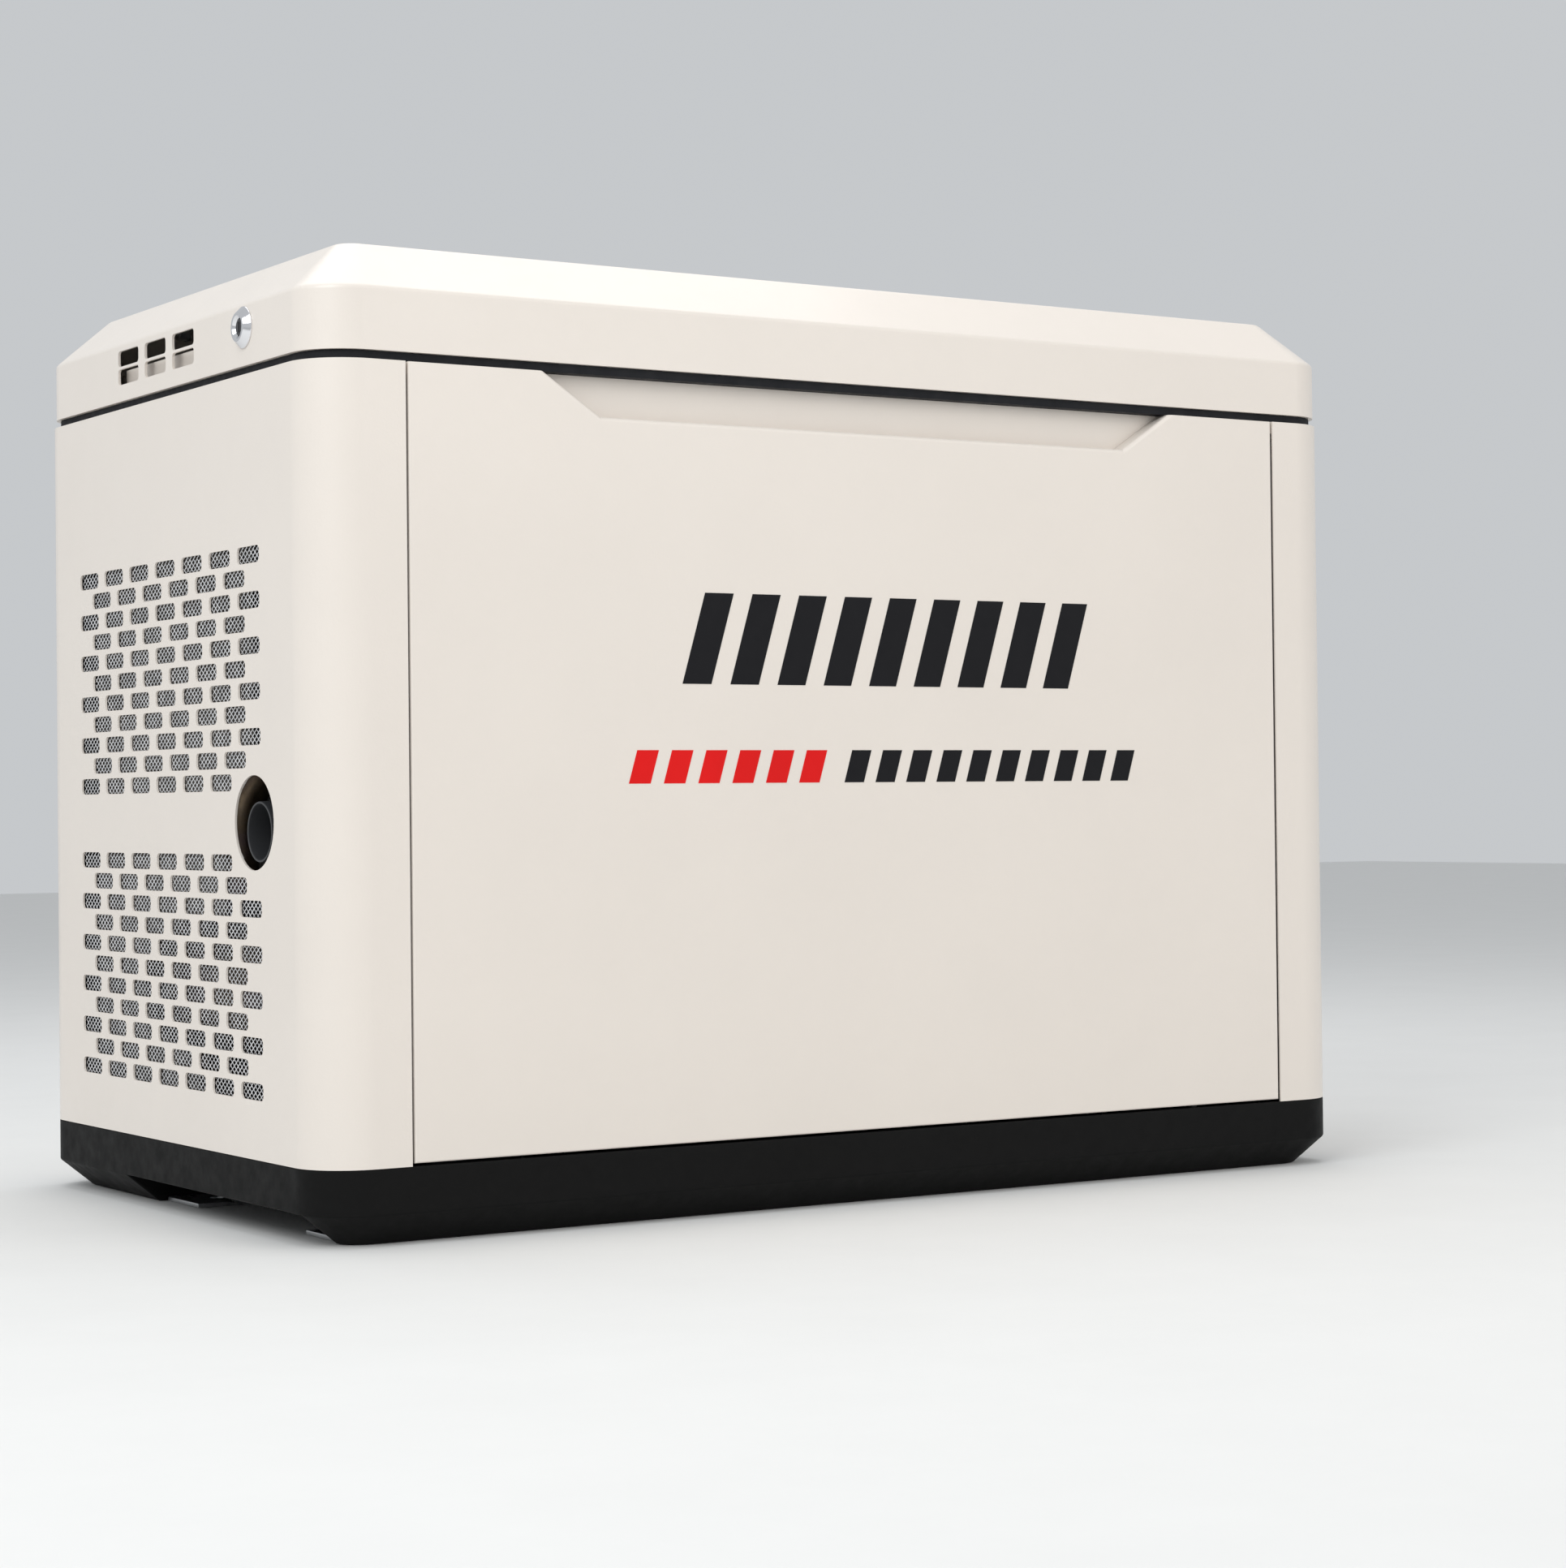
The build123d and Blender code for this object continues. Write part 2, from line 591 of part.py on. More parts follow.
# ---- lock housings: chrome bezel outside, barrel through the lid wall, nut inside ----
def make_lock_housings():
    nut = 5.0
    with BuildPart() as lock_housings:
        for side in (-1, 1):
            wall = BODY_LENGTH / 2 - LID_INSET
            inner = wall - LID_WALL
            with BuildSketch(Plane.XZ):
                with BuildLine():
                    Polyline((LOCK_PLUG + RUNNING, wall - LOCK_REACH),
                             (LOCK_BODY - CLEAR, wall - LOCK_REACH),
                             (LOCK_BODY - CLEAR, inner - nut - CLEAR),
                             (LOCK_FLANGE - 3, inner - nut - CLEAR),
                             (LOCK_FLANGE - 3, inner),
                             (LOCK_BODY - CLEAR, inner),
                             (LOCK_BODY - CLEAR, wall),
                             (LOCK_FLANGE, wall), (LOCK_FLANGE, wall + 1.2),
                             (LOCK_FRONT, wall + LOCK_PROUD),
                             (LOCK_FRONT - 2.5, wall + LOCK_PROUD),
                             (LOCK_PLUG + RUNNING, wall + LOCK_PROUD - 3), close=True)
                make_face()
            spin = revolve(axis=Axis.Z, mode=Mode.PRIVATE)
            turned = Plane(origin=(0, LOCK_Y, LOCK_Z), x_dir=(0, 1, 0), z_dir=(side, 0, 0))
            add(turned.from_local_coords(spin))
    finish(lock_housings, "lock_housings")


# ---- key plug with its cam and hooked foot ----
def make_lock_cam(side, label):
    wall = BODY_LENGTH / 2 - LID_INSET
    plug_front = side * (wall + LOCK_PROUD - 3.5)
    plug_back = side * (wall - LOCK_REACH - CLEAR)
    cam_back = plug_back - side * CAM_SHEET
    with BuildPart() as lock_cam:
        rod_x(sorted((plug_front, cam_back)), LOCK_Y, LOCK_Z, LOCK_PLUG)
        y_span = (LOCK_Y - CAM_WIDTH / 2, LOCK_Y + CAM_LENGTH)
        z_span = (LOCK_Z - CAM_WIDTH / 2, LOCK_Z + CAM_WIDTH / 2)
        block(sorted((plug_back, cam_back)), y_span, z_span)
        foot_y = (LOCK_Y + CAM_LENGTH - CAM_FOOT, LOCK_Y + CAM_LENGTH)
        block(sorted((plug_back, plug_back + side * 10)), foot_y, z_span)
        key_x = sorted((plug_front, plug_front - side * 3))
        block(key_x, (LOCK_Y - 1, LOCK_Y + 1), (LOCK_Z - 5, LOCK_Z + 5), mode=Mode.SUBTRACT)
    finish(lock_cam, label)


# ---- strike plates on the frame, over the turned-down cam foot ----
def make_strike_plates():
    foot_top = LOCK_Z - CAM_LENGTH + CAM_FOOT
    frame_edge = BODY_LENGTH / 2 - FRAME_DEPTH
    with BuildPart() as strike_plates:
        for side in (-1, 1):
            x_span = sorted((side * frame_edge, side * (frame_edge - STRIKE_REACH)))
            y_span = (LOCK_Y - CAM_WIDTH - 6, LOCK_Y + STRIKE_SHEET)
            low = foot_top + STRIKE_GAP
            block(x_span, y_span, (low, low + STRIKE_SHEET))
            x_wall = sorted((side * frame_edge, side * (frame_edge - STRIKE_SHEET)))
            block(x_wall, y_span, (low, PANEL_TOP))
    finish(strike_plates, "strike_plates")


def opened(y, z, angle):
    """Where a lid point (y, z) goes when the lid has turned by this angle."""
    turn = math.radians(angle)
    dy = y - HINGE_Y
    dz = z - HINGE_Z
    new_y = HINGE_Y + dy * math.cos(turn) + dz * math.sin(turn)
    new_z = HINGE_Z - dy * math.sin(turn) + dz * math.cos(turn)
    return new_y, new_z


CATCH_TIP_Z = PANEL_TOP + 3.0
OPEN_PIVOT = opened(ROD_PIVOT_Y, ROD_PIVOT_Z, LID_OPEN_ANGLE)
CATCH_TIP_Y = OPEN_PIVOT[0] - math.sqrt(ROD_LENGTH ** 2 - (OPEN_PIVOT[1] - CATCH_TIP_Z) ** 2)
OPEN_SLOPE = math.degrees(math.atan2(CATCH_TIP_Z - OPEN_PIVOT[1], CATCH_TIP_Y - OPEN_PIVOT[0]))
ROD_SWING = (OPEN_SLOPE + LID_OPEN_ANGLE + 360) % 360 - 180


# ---- prop rod: eye at the lid, bent tip for the catch ----
def make_prop_rod():
    rod_x_mid = LEFT + ROD_INSET
    tip_y = ROD_PIVOT_Y - ROD_LENGTH
    with BuildPart() as prop_rod:
        points = ((rod_x_mid - ROD_TIP_REACH, tip_y, ROD_PIVOT_Z), (rod_x_mid, tip_y, ROD_PIVOT_Z),
                  (rod_x_mid, ROD_PIVOT_Y - ROD_PIN * 2, ROD_PIVOT_Z))
        pipe_sweep(points, ROD_RADIUS, ROD_RADIUS * 2)
        eye = (rod_x_mid - EYE_HALF, rod_x_mid + EYE_HALF)
        ring_x(eye, ROD_PIVOT_Y, ROD_PIVOT_Z, ROD_PIN * 3, ROD_PIN + RUNNING)
    finish(prop_rod, "prop_rod")


# ---- pivot bracket with its pin, and the clip that holds the stowed rod ----
def make_prop_brackets():
    rod_x_mid = LEFT + ROD_INSET
    roof = LID_TOP - LID_WALL
    clip_y = ROD_PIVOT_Y - ROD_LENGTH * 0.8
    grip = ROD_RADIUS + CLEAR
    with BuildPart() as prop_brackets:
        plate_x = rod_x_mid + EYE_HALF + CLEAR
        pin_y = (ROD_PIVOT_Y - ROD_PIN * 3, ROD_PIVOT_Y + ROD_PIN * 3)
        block((plate_x, plate_x + STRIKE_SHEET), pin_y, (ROD_PIVOT_Z - ROD_PIN * 3, roof))
        pin_x = (rod_x_mid - EYE_HALF - CLEAR, plate_x + STRIKE_SHEET)
        rod_x(pin_x, ROD_PIVOT_Y, ROD_PIVOT_Z, ROD_PIN)
        head_x = (pin_x[0] - 2, pin_x[0])
        rod_x(head_x, ROD_PIVOT_Y, ROD_PIVOT_Z, ROD_PIN * 2)
        clip_span = (clip_y - 6, clip_y + 6)
        outer = (rod_x_mid - grip - SHEET, rod_x_mid + grip + SHEET)
        block(outer, clip_span, (ROD_PIVOT_Z - ROD_RADIUS, roof))
        slot_x = (rod_x_mid - grip, rod_x_mid + grip)
        slot_z = (ROD_PIVOT_Z - ROD_RADIUS - 1, ROD_PIVOT_Z + grip)
        block(slot_x, (clip_y - 7, clip_y + 7), slot_z, mode=Mode.SUBTRACT)
    finish(prop_brackets, "prop_brackets")


# ---- catch on the frame for the tip of the prop rod ----
def make_prop_catch():
    inner = LEFT + FRAME_DEPTH
    plate = (LEFT + CATCH_INSET, LEFT + CATCH_INSET + STRIKE_SHEET)
    y_span = (CATCH_TIP_Y - 14, CATCH_TIP_Y + 14)
    grip = ROD_RADIUS + CLEAR
    low = PANEL_TOP - FRAME_HEIGHT
    with BuildPart() as prop_catch:
        block((inner, plate[1]), y_span, (low, low + STRIKE_SHEET))
        block(plate, y_span, (low, CATCH_TIP_Z + ROD_RADIUS + 4))
        notch_x = (plate[0] - 1, plate[1] + 1)
        rod_x(notch_x, CATCH_TIP_Y, CATCH_TIP_Z, grip, mode=Mode.SUBTRACT)
        notch_z = (CATCH_TIP_Z, CATCH_TIP_Z + ROD_RADIUS + 5)
        notch_y = (CATCH_TIP_Y - grip, CATCH_TIP_Y + grip)
        block(notch_x, notch_y, notch_z, mode=Mode.SUBTRACT)
    finish(prop_catch, "prop_catch")


# ---- partition between the engine bay and the exhaust compartment ----
def make_engine_partition():
    x_span = (ENGINE_PARTITION_X, ENGINE_PARTITION_X + SHEET)
    half = BODY_WIDTH / 2 - FRAME_DEPTH
    cut = (x_span[0] - 1, x_span[1] + 1)
    with BuildPart() as engine_partition:
        block(x_span, (MID_Y - half, MID_Y + half), (FLOOR_Z, PARTITION_TOP))
        rod_x(cut, MID_Y, CRANK_Z, FAN_RADIUS - 18, mode=Mode.SUBTRACT)
        for row in (-1, 1):
            header_hole = HEADER_RADIUS + 6
            rod_x(cut, MID_Y + row * HEADER_Y, HEADER_Z, header_hole, mode=Mode.SUBTRACT)
    finish(engine_partition, "engine_partition")


# ---- partition between the alternator and the control compartment ----
def make_control_partition():
    x_span = (CONTROL_PARTITION_X, CONTROL_PARTITION_X + SHEET)
    half = BODY_WIDTH / 2 - FRAME_DEPTH
    with BuildPart() as control_partition:
        block(x_span, (MID_Y - half, MID_Y + half), (FLOOR_Z, PARTITION_TOP))
        cut = (x_span[0] - 1, x_span[1] + 1)
        rod_x(cut, REGULATOR_Y, REGULATOR_Z, HOSE_RADIUS + 4, mode=Mode.SUBTRACT)
    finish(control_partition, "control_partition")


# ---- welded cradle under the engine and the alternator ----
def make_engine_cradle():
    z_span = (CRADLE_Z, CRADLE_Z + CRADLE_HEIGHT)
    half = CRADLE_RAIL / 2
    with BuildPart() as engine_cradle:
        for row in (-1, 1):
            rail_y = MID_Y + row * CRADLE_Y
            block(CRADLE_X, (rail_y - half, rail_y + half), z_span)
        for x_low in (CRADLE_X[0], -CRADLE_RAIL * 2, CRADLE_X[1] - CRADLE_RAIL):
            x_span = (x_low, x_low + CRADLE_RAIL)
            block(x_span, (MID_Y - CRADLE_Y, MID_Y + CRADLE_Y), z_span)
    finish(engine_cradle, "engine_cradle")


# ---- four rubber mounts between the floor and the cradle ----
def make_vibration_mounts():
    waist = MOUNT_RADIUS - 5
    with BuildPart() as vibration_mounts:
        for x in (CRADLE_X[0] + CRADLE_RAIL, CRADLE_X[1] - CRADLE_RAIL):
            for row in (-1, 1):
                y = MID_Y + row * CRADLE_Y
                middle = (FLOOR_Z + CRADLE_Z) / 2
                rod_z((FLOOR_Z, middle - 5), x, y, MOUNT_RADIUS)
                rod_z((middle - 5, middle + 5), x, y, waist)
                rod_z((middle + 5, CRADLE_Z), x, y, MOUNT_RADIUS)
    finish(vibration_mounts, "vibration_mounts")


# ---- crankcase: six-sided casting with two decks for the cylinders ----
def case_profile(shrink):
    """Cross-section of the crankcase, square to the crankshaft."""
    half = CASE_HALF - shrink
    low = CRADLE_Z + CRADLE_HEIGHT + shrink
    shoulder = (CASE_DECK - shrink) * math.sqrt(2) - half
    deck_top = CRANK_Z + (CASE_DECK - shrink) * math.sqrt(2)
    flat = CYLINDER_OFFSET
    side_z = CRANK_Z + shoulder
    points = [(MID_Y - half, low), (MID_Y + half, low), (MID_Y + half, side_z),
              (MID_Y + flat, deck_top - flat), (MID_Y - flat, deck_top - flat),
              (MID_Y - half, side_z)]
    return points


def make_crankcase():
    bearing_x = (CASE_X[0] - 1, CASE_X[1] + 1)
    start = Plane(origin=(CASE_X[0], 0, 0), x_dir=(0, 1, 0), z_dir=(1, 0, 0))
    inner = Plane(origin=(CASE_X[0] + CASE_WALL * 2, 0, 0), x_dir=(0, 1, 0), z_dir=(1, 0, 0))
    with BuildPart() as crankcase:
        with BuildSketch(start):
            with BuildLine():
                Polyline(*case_profile(0), close=True)
            make_face()
        extrude(amount=CASE_X[1] - CASE_X[0])
        with BuildSketch(inner):
            with BuildLine():
                Polyline(*case_profile(CASE_WALL), close=True)
            make_face()
        extrude(amount=CASE_X[1] - CASE_X[0] - CASE_WALL * 4, mode=Mode.SUBTRACT)
        rod_x(bearing_x, MID_Y, CRANK_Z, SHAFT_RADIUS + RUNNING, mode=Mode.SUBTRACT)
        for row in (-1, 1):
            with BuildSketch(cylinder_plane(row, 0)):
                Circle(BORE_RADIUS)
            extrude(amount=CASE_DECK + CASE_WALL, mode=Mode.SUBTRACT)
    finish(crankcase, "crankcase")


def cylinder_plane(row, distance):
    """Plane square to one cylinder, at a distance from the crank axis."""
    turn = math.radians(CYLINDER_ANGLE)
    x_mid = (CASE_X[0] + CASE_X[1]) / 2 + row * CYLINDER_OFFSET
    out = (0, row * math.sin(turn), math.cos(turn))
    origin = (x_mid, MID_Y + out[1] * distance, CRANK_Z + out[2] * distance)
    return Plane(origin=origin, x_dir=(1, 0, 0), z_dir=out)


# ---- finned cylinders of the V-twin ----
def make_cylinders():
    fin_pitch = (CYLINDER_LENGTH - 10) / FIN_COUNT
    with BuildPart() as cylinders:
        for row in (-1, 1):
            with BuildSketch(cylinder_plane(row, CASE_DECK)) as barrel:
                Circle(BARREL_RADIUS)
            extrude(barrel.sketch, CYLINDER_LENGTH)
            for fin in range(FIN_COUNT):
                low = CASE_DECK + 22 + fin * (fin_pitch - 1.5)
                with BuildSketch(cylinder_plane(row, low)) as disc:
                    Circle(FIN_RADIUS)
                extrude(disc.sketch, 3)
            with BuildSketch(cylinder_plane(row, CASE_DECK - 1)) as bore:
                Circle(BORE_RADIUS)
            extrude(bore.sketch, CYLINDER_LENGTH + 2, mode=Mode.SUBTRACT)
    finish(cylinders, "cylinders")


# ---- finned cylinder heads ----
def make_cylinder_heads():
    base = CASE_DECK + CYLINDER_LENGTH
    grooves = 3
    with BuildPart() as cylinder_heads:
        for row in (-1, 1):
            with BuildSketch(cylinder_plane(row, base)) as face:
                RectangleRounded(HEAD_SIZE, HEAD_SIZE, 10)
            extrude(face.sketch, HEAD_HEIGHT)
            for groove in range(grooves):
                level = base + 9 + groove * 12
                with BuildSketch(cylinder_plane(row, level)) as gap:
                    RectangleRounded(HEAD_SIZE + 4, HEAD_SIZE + 4, 10)
                    RectangleRounded(HEAD_SIZE - 24, HEAD_SIZE - 24, 6, mode=Mode.SUBTRACT)
                extrude(gap.sketch, 6, mode=Mode.SUBTRACT)
    finish(cylinder_heads, "cylinder_heads")


# ---- valve covers ----
def make_valve_covers():
    base = CASE_DECK + CYLINDER_LENGTH + HEAD_HEIGHT
    with BuildPart() as valve_covers:
        for row in (-1, 1):
            with BuildSketch(cylinder_plane(row, base)) as face:
                RectangleRounded(HEAD_SIZE - 12, HEAD_SIZE - 24, 14)
            extrude(face.sketch, COVER_HEIGHT, taper=8)
    finish(valve_covers, "valve_covers")


# ---- spark plugs in the alternator-side faces of the heads ----
def make_spark_plugs():
    distance = CASE_DECK + CYLINDER_LENGTH + 3
    turn = math.radians(CYLINDER_ANGLE)
    with BuildPart() as spark_plugs:
        for row in (-1, 1):
            x_face = (CASE_X[0] + CASE_X[1]) / 2 + row * CYLINDER_OFFSET + HEAD_SIZE / 2
            across = HEAD_SIZE * 0.2
            y = MID_Y + row * (math.sin(turn) * distance + math.cos(turn) * across)
            z = CRANK_Z + math.cos(turn) * distance - math.sin(turn) * across
            rod_x((x_face, x_face + 14), y, z, PLUG_RADIUS + 3)
            rod_x((x_face + 14, x_face + PLUG_LENGTH), y, z, PLUG_RADIUS)
    finish(spark_plugs, "spark_plugs")


# ---- crankshaft, carried on to the alternator's end bearing ----
def make_crankshaft():
    web_radius = 48.0
    web = 12.0
    throw = 26.0
    pin = 16.0
    middle = (CASE_X[0] + CASE_X[1]) / 2
    with BuildPart() as crankshaft:
        rod_x((FAN_X[0] + 8, middle - 40), MID_Y, CRANK_Z, SHAFT_RADIUS)
        rod_x((middle + 40, ALTERNATOR_X[1] + 2), MID_Y, CRANK_Z, SHAFT_RADIUS)
        for x in (middle - 40, middle + 40 - web):
            rod_x((x, x + web), MID_Y, CRANK_Z, web_radius)
        rod_x((middle - 40, middle + 40), MID_Y, CRANK_Z + throw, pin)
    finish(crankshaft, "crankshaft")


# ---- flywheel with its cooling fan blades ----
def make_flywheel_fan():
    disc = 14.0
    hub = (FAN_X[0] + 10, FAN_X[1])
    with BuildPart() as flywheel_fan:
        rod_x((FAN_X[1] - disc, FAN_X[1]), MID_Y, CRANK_Z, FAN_RADIUS)
        rod_x(hub, MID_Y, CRANK_Z, SHAFT_RADIUS * 2)
        front = Plane(origin=(FAN_X[0], MID_Y, CRANK_Z), x_dir=(0, 1, 0), z_dir=(1, 0, 0))
        with BuildSketch(front):
            with PolarLocations(FAN_RADIUS * 0.72, FAN_BLADES):
                Rectangle(FAN_RADIUS * 0.44, 4, rotation=25)
        extrude(amount=FAN_X[1] - FAN_X[0] - disc)
        bore = (FAN_X[0] - 1, FAN_X[1] + 1)
        rod_x(bore, MID_Y, CRANK_Z, SHAFT_RADIUS + RUNNING, mode=Mode.SUBTRACT)
    finish(flywheel_fan, "flywheel_fan")


# ---- shroud that guides the fan's air over the cylinders ----
def make_fan_shroud():
    x_span = (ENGINE_PARTITION_X + SHEET, CASE_X[0] - CLEAR)
    inner = SHROUD_RADIUS - SHROUD_WALL
    with BuildPart() as fan_shroud:
        rod_x(x_span, MID_Y, CRANK_Z, SHROUD_RADIUS)
        rod_x((x_span[0] - 1, x_span[1] - SHROUD_WALL), MID_Y, CRANK_Z, inner, mode=Mode.SUBTRACT)
        rod_x((x_span[0], x_span[1] + 1), MID_Y, CRANK_Z, SHAFT_RADIUS * 2.5, mode=Mode.SUBTRACT)
        corner = SHROUD_RADIUS * 0.5
        upper_z = (CRANK_Z + corner, CRANK_Z + SHROUD_RADIUS + 1)
        back_wall = (x_span[1] - SHROUD_WALL - 1, x_span[1] + 1)
        block(back_wall, (MID_Y - 60, MID_Y + 60), upper_z, mode=Mode.SUBTRACT)
    finish(fan_shroud, "fan_shroud")


# ---- alternator: rotor on the shaft, wound stator, housing and end bearing ----
def make_alternator_rotor():
    x_span = (STATOR_X[0] + 8, STATOR_X[1] - 8)
    with BuildPart() as alternator_rotor:
        ring_x(x_span, MID_Y, CRANK_Z, STATOR_BORE - AIR_GAP, SHAFT_RADIUS + RUNNING)
        for row in (-1, 1):
            y_span = sorted((MID_Y + row * (STATOR_BORE - 22), MID_Y + row * (STATOR_BORE + 2)))
            block(x_span, y_span, (CRANK_Z - 14, CRANK_Z + 14), mode=Mode.SUBTRACT)
    finish(alternator_rotor, "alternator_rotor")


def make_alternator_stator():
    core = ALTERNATOR_RADIUS - ALTERNATOR_WALL - CLEAR
    with BuildPart() as alternator_stator:
        ring_x((STATOR_X[0] + 14, STATOR_X[1] - 14), MID_Y, CRANK_Z, core, STATOR_BORE)
        winding = (core + STATOR_BORE) / 2 + 8
        ring_x(STATOR_X, MID_Y, CRANK_Z, winding, STATOR_BORE)
    finish(alternator_stator, "alternator_stator")


def make_alternator_housing():
    foot_y = (MID_Y - CRADLE_Y - 15, MID_Y + CRADLE_Y + 15)
    inner = ALTERNATOR_RADIUS - ALTERNATOR_WALL
    bracket = 8.0
    hub = BEARING_RADIUS + 8
    low, high = ALTERNATOR_X
    foot_z = (CRADLE_Z + CRADLE_HEIGHT, CRANK_Z - ALTERNATOR_RADIUS * 0.75)
    with BuildPart() as alternator_housing:
        block((high - CRADLE_RAIL - 10, high - 10), foot_y, foot_z)
        rod_x((low + CLEAR, high), MID_Y, CRANK_Z, ALTERNATOR_RADIUS)
        rod_x((low - 1, high - bracket), MID_Y, CRANK_Z, inner, mode=Mode.SUBTRACT)
        rod_x((high - BEARING_WIDTH - 4, high), MID_Y, CRANK_Z, hub)
        bore = BEARING_RADIUS + CLEAR / 3
        rod_x((low, high + 1), MID_Y, CRANK_Z, bore, mode=Mode.SUBTRACT)
        window = Plane(origin=(high + 1, MID_Y, CRANK_Z), x_dir=(0, 1, 0), z_dir=(1, 0, 0))
        with BuildSketch(window):
            with PolarLocations(ALTERNATOR_RADIUS * 0.65, 8):
                SlotOverall(50, 14)
        extrude(amount=-(bracket + 2), mode=Mode.SUBTRACT)
    finish(alternator_housing, "alternator_housing")


def make_rear_bearing():
    high = ALTERNATOR_X[1]
    with BuildPart() as rear_bearing:
        ring_x((high - BEARING_WIDTH, high), MID_Y, CRANK_Z, BEARING_RADIUS, SHAFT_RADIUS + RUNNING)
    finish(rear_bearing, "rear_bearing")


# ---- intake: mixer with two runners, air cleaner above it ----
def make_intake_mixer():
    middle = (CASE_X[0] + CASE_X[1]) / 2
    turn = math.radians(CYLINDER_ANGLE)
    distance = CASE_DECK + CYLINDER_LENGTH + 24
    with BuildPart() as intake_mixer:
        rod_z(MIXER_Z, MIXER_X, MID_Y, MIXER_RADIUS)
        for row in (-1, 1):
            x_face = middle + row * CYLINDER_OFFSET + HEAD_SIZE / 2
            y = MID_Y + row * (math.sin(turn) * distance - 14)
            z = CRANK_Z + math.cos(turn) * distance + 14
            low_z = MIXER_Z[0] + HEADER_RADIUS
            with BuildLine() as path:
                FilletPolyline((MIXER_X, MID_Y, low_z), (MIXER_X, y, z), (x_face, y, z), radius=18)
            with BuildSketch(Plane(origin=path.line @ 0, z_dir=path.line % 0)):
                Circle(HEADER_RADIUS - 2)
            sweep()
    finish(intake_mixer, "intake_mixer")


def make_air_cleaner():
    length, width, height = CLEANER_SIZE
    low = MIXER_Z[1] + CLEANER_NECK
    x_span = (MIXER_X - length / 2, MIXER_X + length / 2)
    y_span = (MID_Y - width / 2, MID_Y + width / 2)
    with BuildPart() as air_cleaner:
        round_block(x_span, y_span, (low, low + height), 16)
        fillet(air_cleaner.edges().group_by(Axis.Z)[-1], radius=8)
        rod_z((MIXER_Z[1], low), MIXER_X, MID_Y, MIXER_RADIUS - 4)
    finish(air_cleaner, "air_cleaner")


def make_oil_filter():
    y_span = (MID_Y - CASE_HALF - 90, MID_Y - CASE_HALF)
    with BuildPart() as oil_filter:
        rod_y(y_span, CASE_X[1] - 50, CRANK_Z - 85, 36)
        fillet(oil_filter.edges().group_by(Axis.Y)[0], radius=7)
    finish(oil_filter, "oil_filter")


def make_starter_motor():
    radius = 34.0
    y = MID_Y + CASE_HALF + radius + CLEAR
    with BuildPart() as starter_motor:
        rod_x((CASE_X[0] + 10, CASE_X[0] + 150), y, CRANK_Z - 70, radius)
        rod_x((CASE_X[0] + 30, CASE_X[0] + 120), y + 18, CRANK_Z - 22, 22)
    finish(starter_motor, "starter_motor")


def pipe_sweep(points, radius, bend, mode=Mode.ADD):
    """A round pipe along straight runs joined by arcs."""
    with BuildLine() as path:
        FilletPolyline(*points, radius=bend)
    with BuildSketch(Plane(origin=path.line @ 0, z_dir=path.line % 0)) as face:
        Circle(radius)
    sweep(face.sketch, path=path.line, mode=mode)


# ---- exhaust: header pipes, muffler on saddles, tail pipe to the end panel ----
def make_exhaust_headers():
    middle = (CASE_X[0] + CASE_X[1]) / 2
    with BuildPart() as exhaust_headers:
        for row in (-1, 1):
            y = MID_Y + row * HEADER_Y
            x_face = middle + row * CYLINDER_OFFSET - HEAD_SIZE / 2
            low_z = MUFFLER_Z + MUFFLER_RADIUS
            points = ((x_face, y, HEADER_Z), (MUFFLER_X, y, HEADER_Z), (MUFFLER_X, y, low_z))
            pipe_sweep(points, HEADER_RADIUS, HEADER_BEND)
    finish(exhaust_headers, "exhaust_headers")


def make_muffler():
    saddle = 16.0
    with BuildPart() as muffler:
        rod_y(MUFFLER_Y, MUFFLER_X, MUFFLER_Z, MUFFLER_RADIUS)
        fillet(muffler.edges(), radius=12)
        hollow_y = (MUFFLER_Y[0] + MUFFLER_WALL, MUFFLER_Y[1] - MUFFLER_WALL)
        for y in (MUFFLER_Y[0] + 60, MUFFLER_Y[1] - 60):
            x_span = (MUFFLER_X - 30, MUFFLER_X + 30)
            block(x_span, (y - saddle / 2, y + saddle / 2), (FLOOR_Z, MUFFLER_Z - 50))
        hollow = MUFFLER_RADIUS - MUFFLER_WALL * 2
        rod_y(hollow_y, MUFFLER_X, MUFFLER_Z, hollow, mode=Mode.SUBTRACT)
    finish(muffler, "muffler")


def make_tail_pipe():
    y = EXHAUST_Y + TAIL_SHIFT[0]
    z = EXHAUST_Z + TAIL_SHIFT[1]
    low_z = MUFFLER_Z + MUFFLER_RADIUS
    points = ((MUFFLER_X, y, low_z), (MUFFLER_X, y, z), (LEFT + TAIL_RECESS, y, z))
    with BuildPart() as tail_pipe:
        pipe_sweep(points, TAIL_RADIUS, TAIL_BEND)
        pipe_sweep(points, TAIL_RADIUS - TAIL_WALL, TAIL_BEND, mode=Mode.SUBTRACT)
    finish(tail_pipe, "tail_pipe")


# ---- fuel: gas inlet through the back panel, regulator, hose and selector ----
def make_gas_inlet():
    mouth = BACK + INLET_PROUD
    low_z = REGULATOR_Z - REGULATOR_RADIUS
    with BuildPart() as gas_inlet:
        rod_y((mouth - INLET_DEPTH - 10, mouth), INLET_X, INLET_Z, INLET_BODY)
        start_y = mouth - INLET_DEPTH - 8
        points = ((INLET_X, start_y, INLET_Z), (INLET_X, REGULATOR_Y, INLET_Z),
                  (INLET_X, REGULATOR_Y, low_z))
        rise = start_y - REGULATOR_Y
        pipe_sweep(points, PIPE_RADIUS, rise * 0.6)
        rod_y((mouth - INLET_DEPTH, mouth + 1), INLET_X, INLET_Z, INLET_BORE, mode=Mode.SUBTRACT)
    finish(gas_inlet, "gas_inlet")


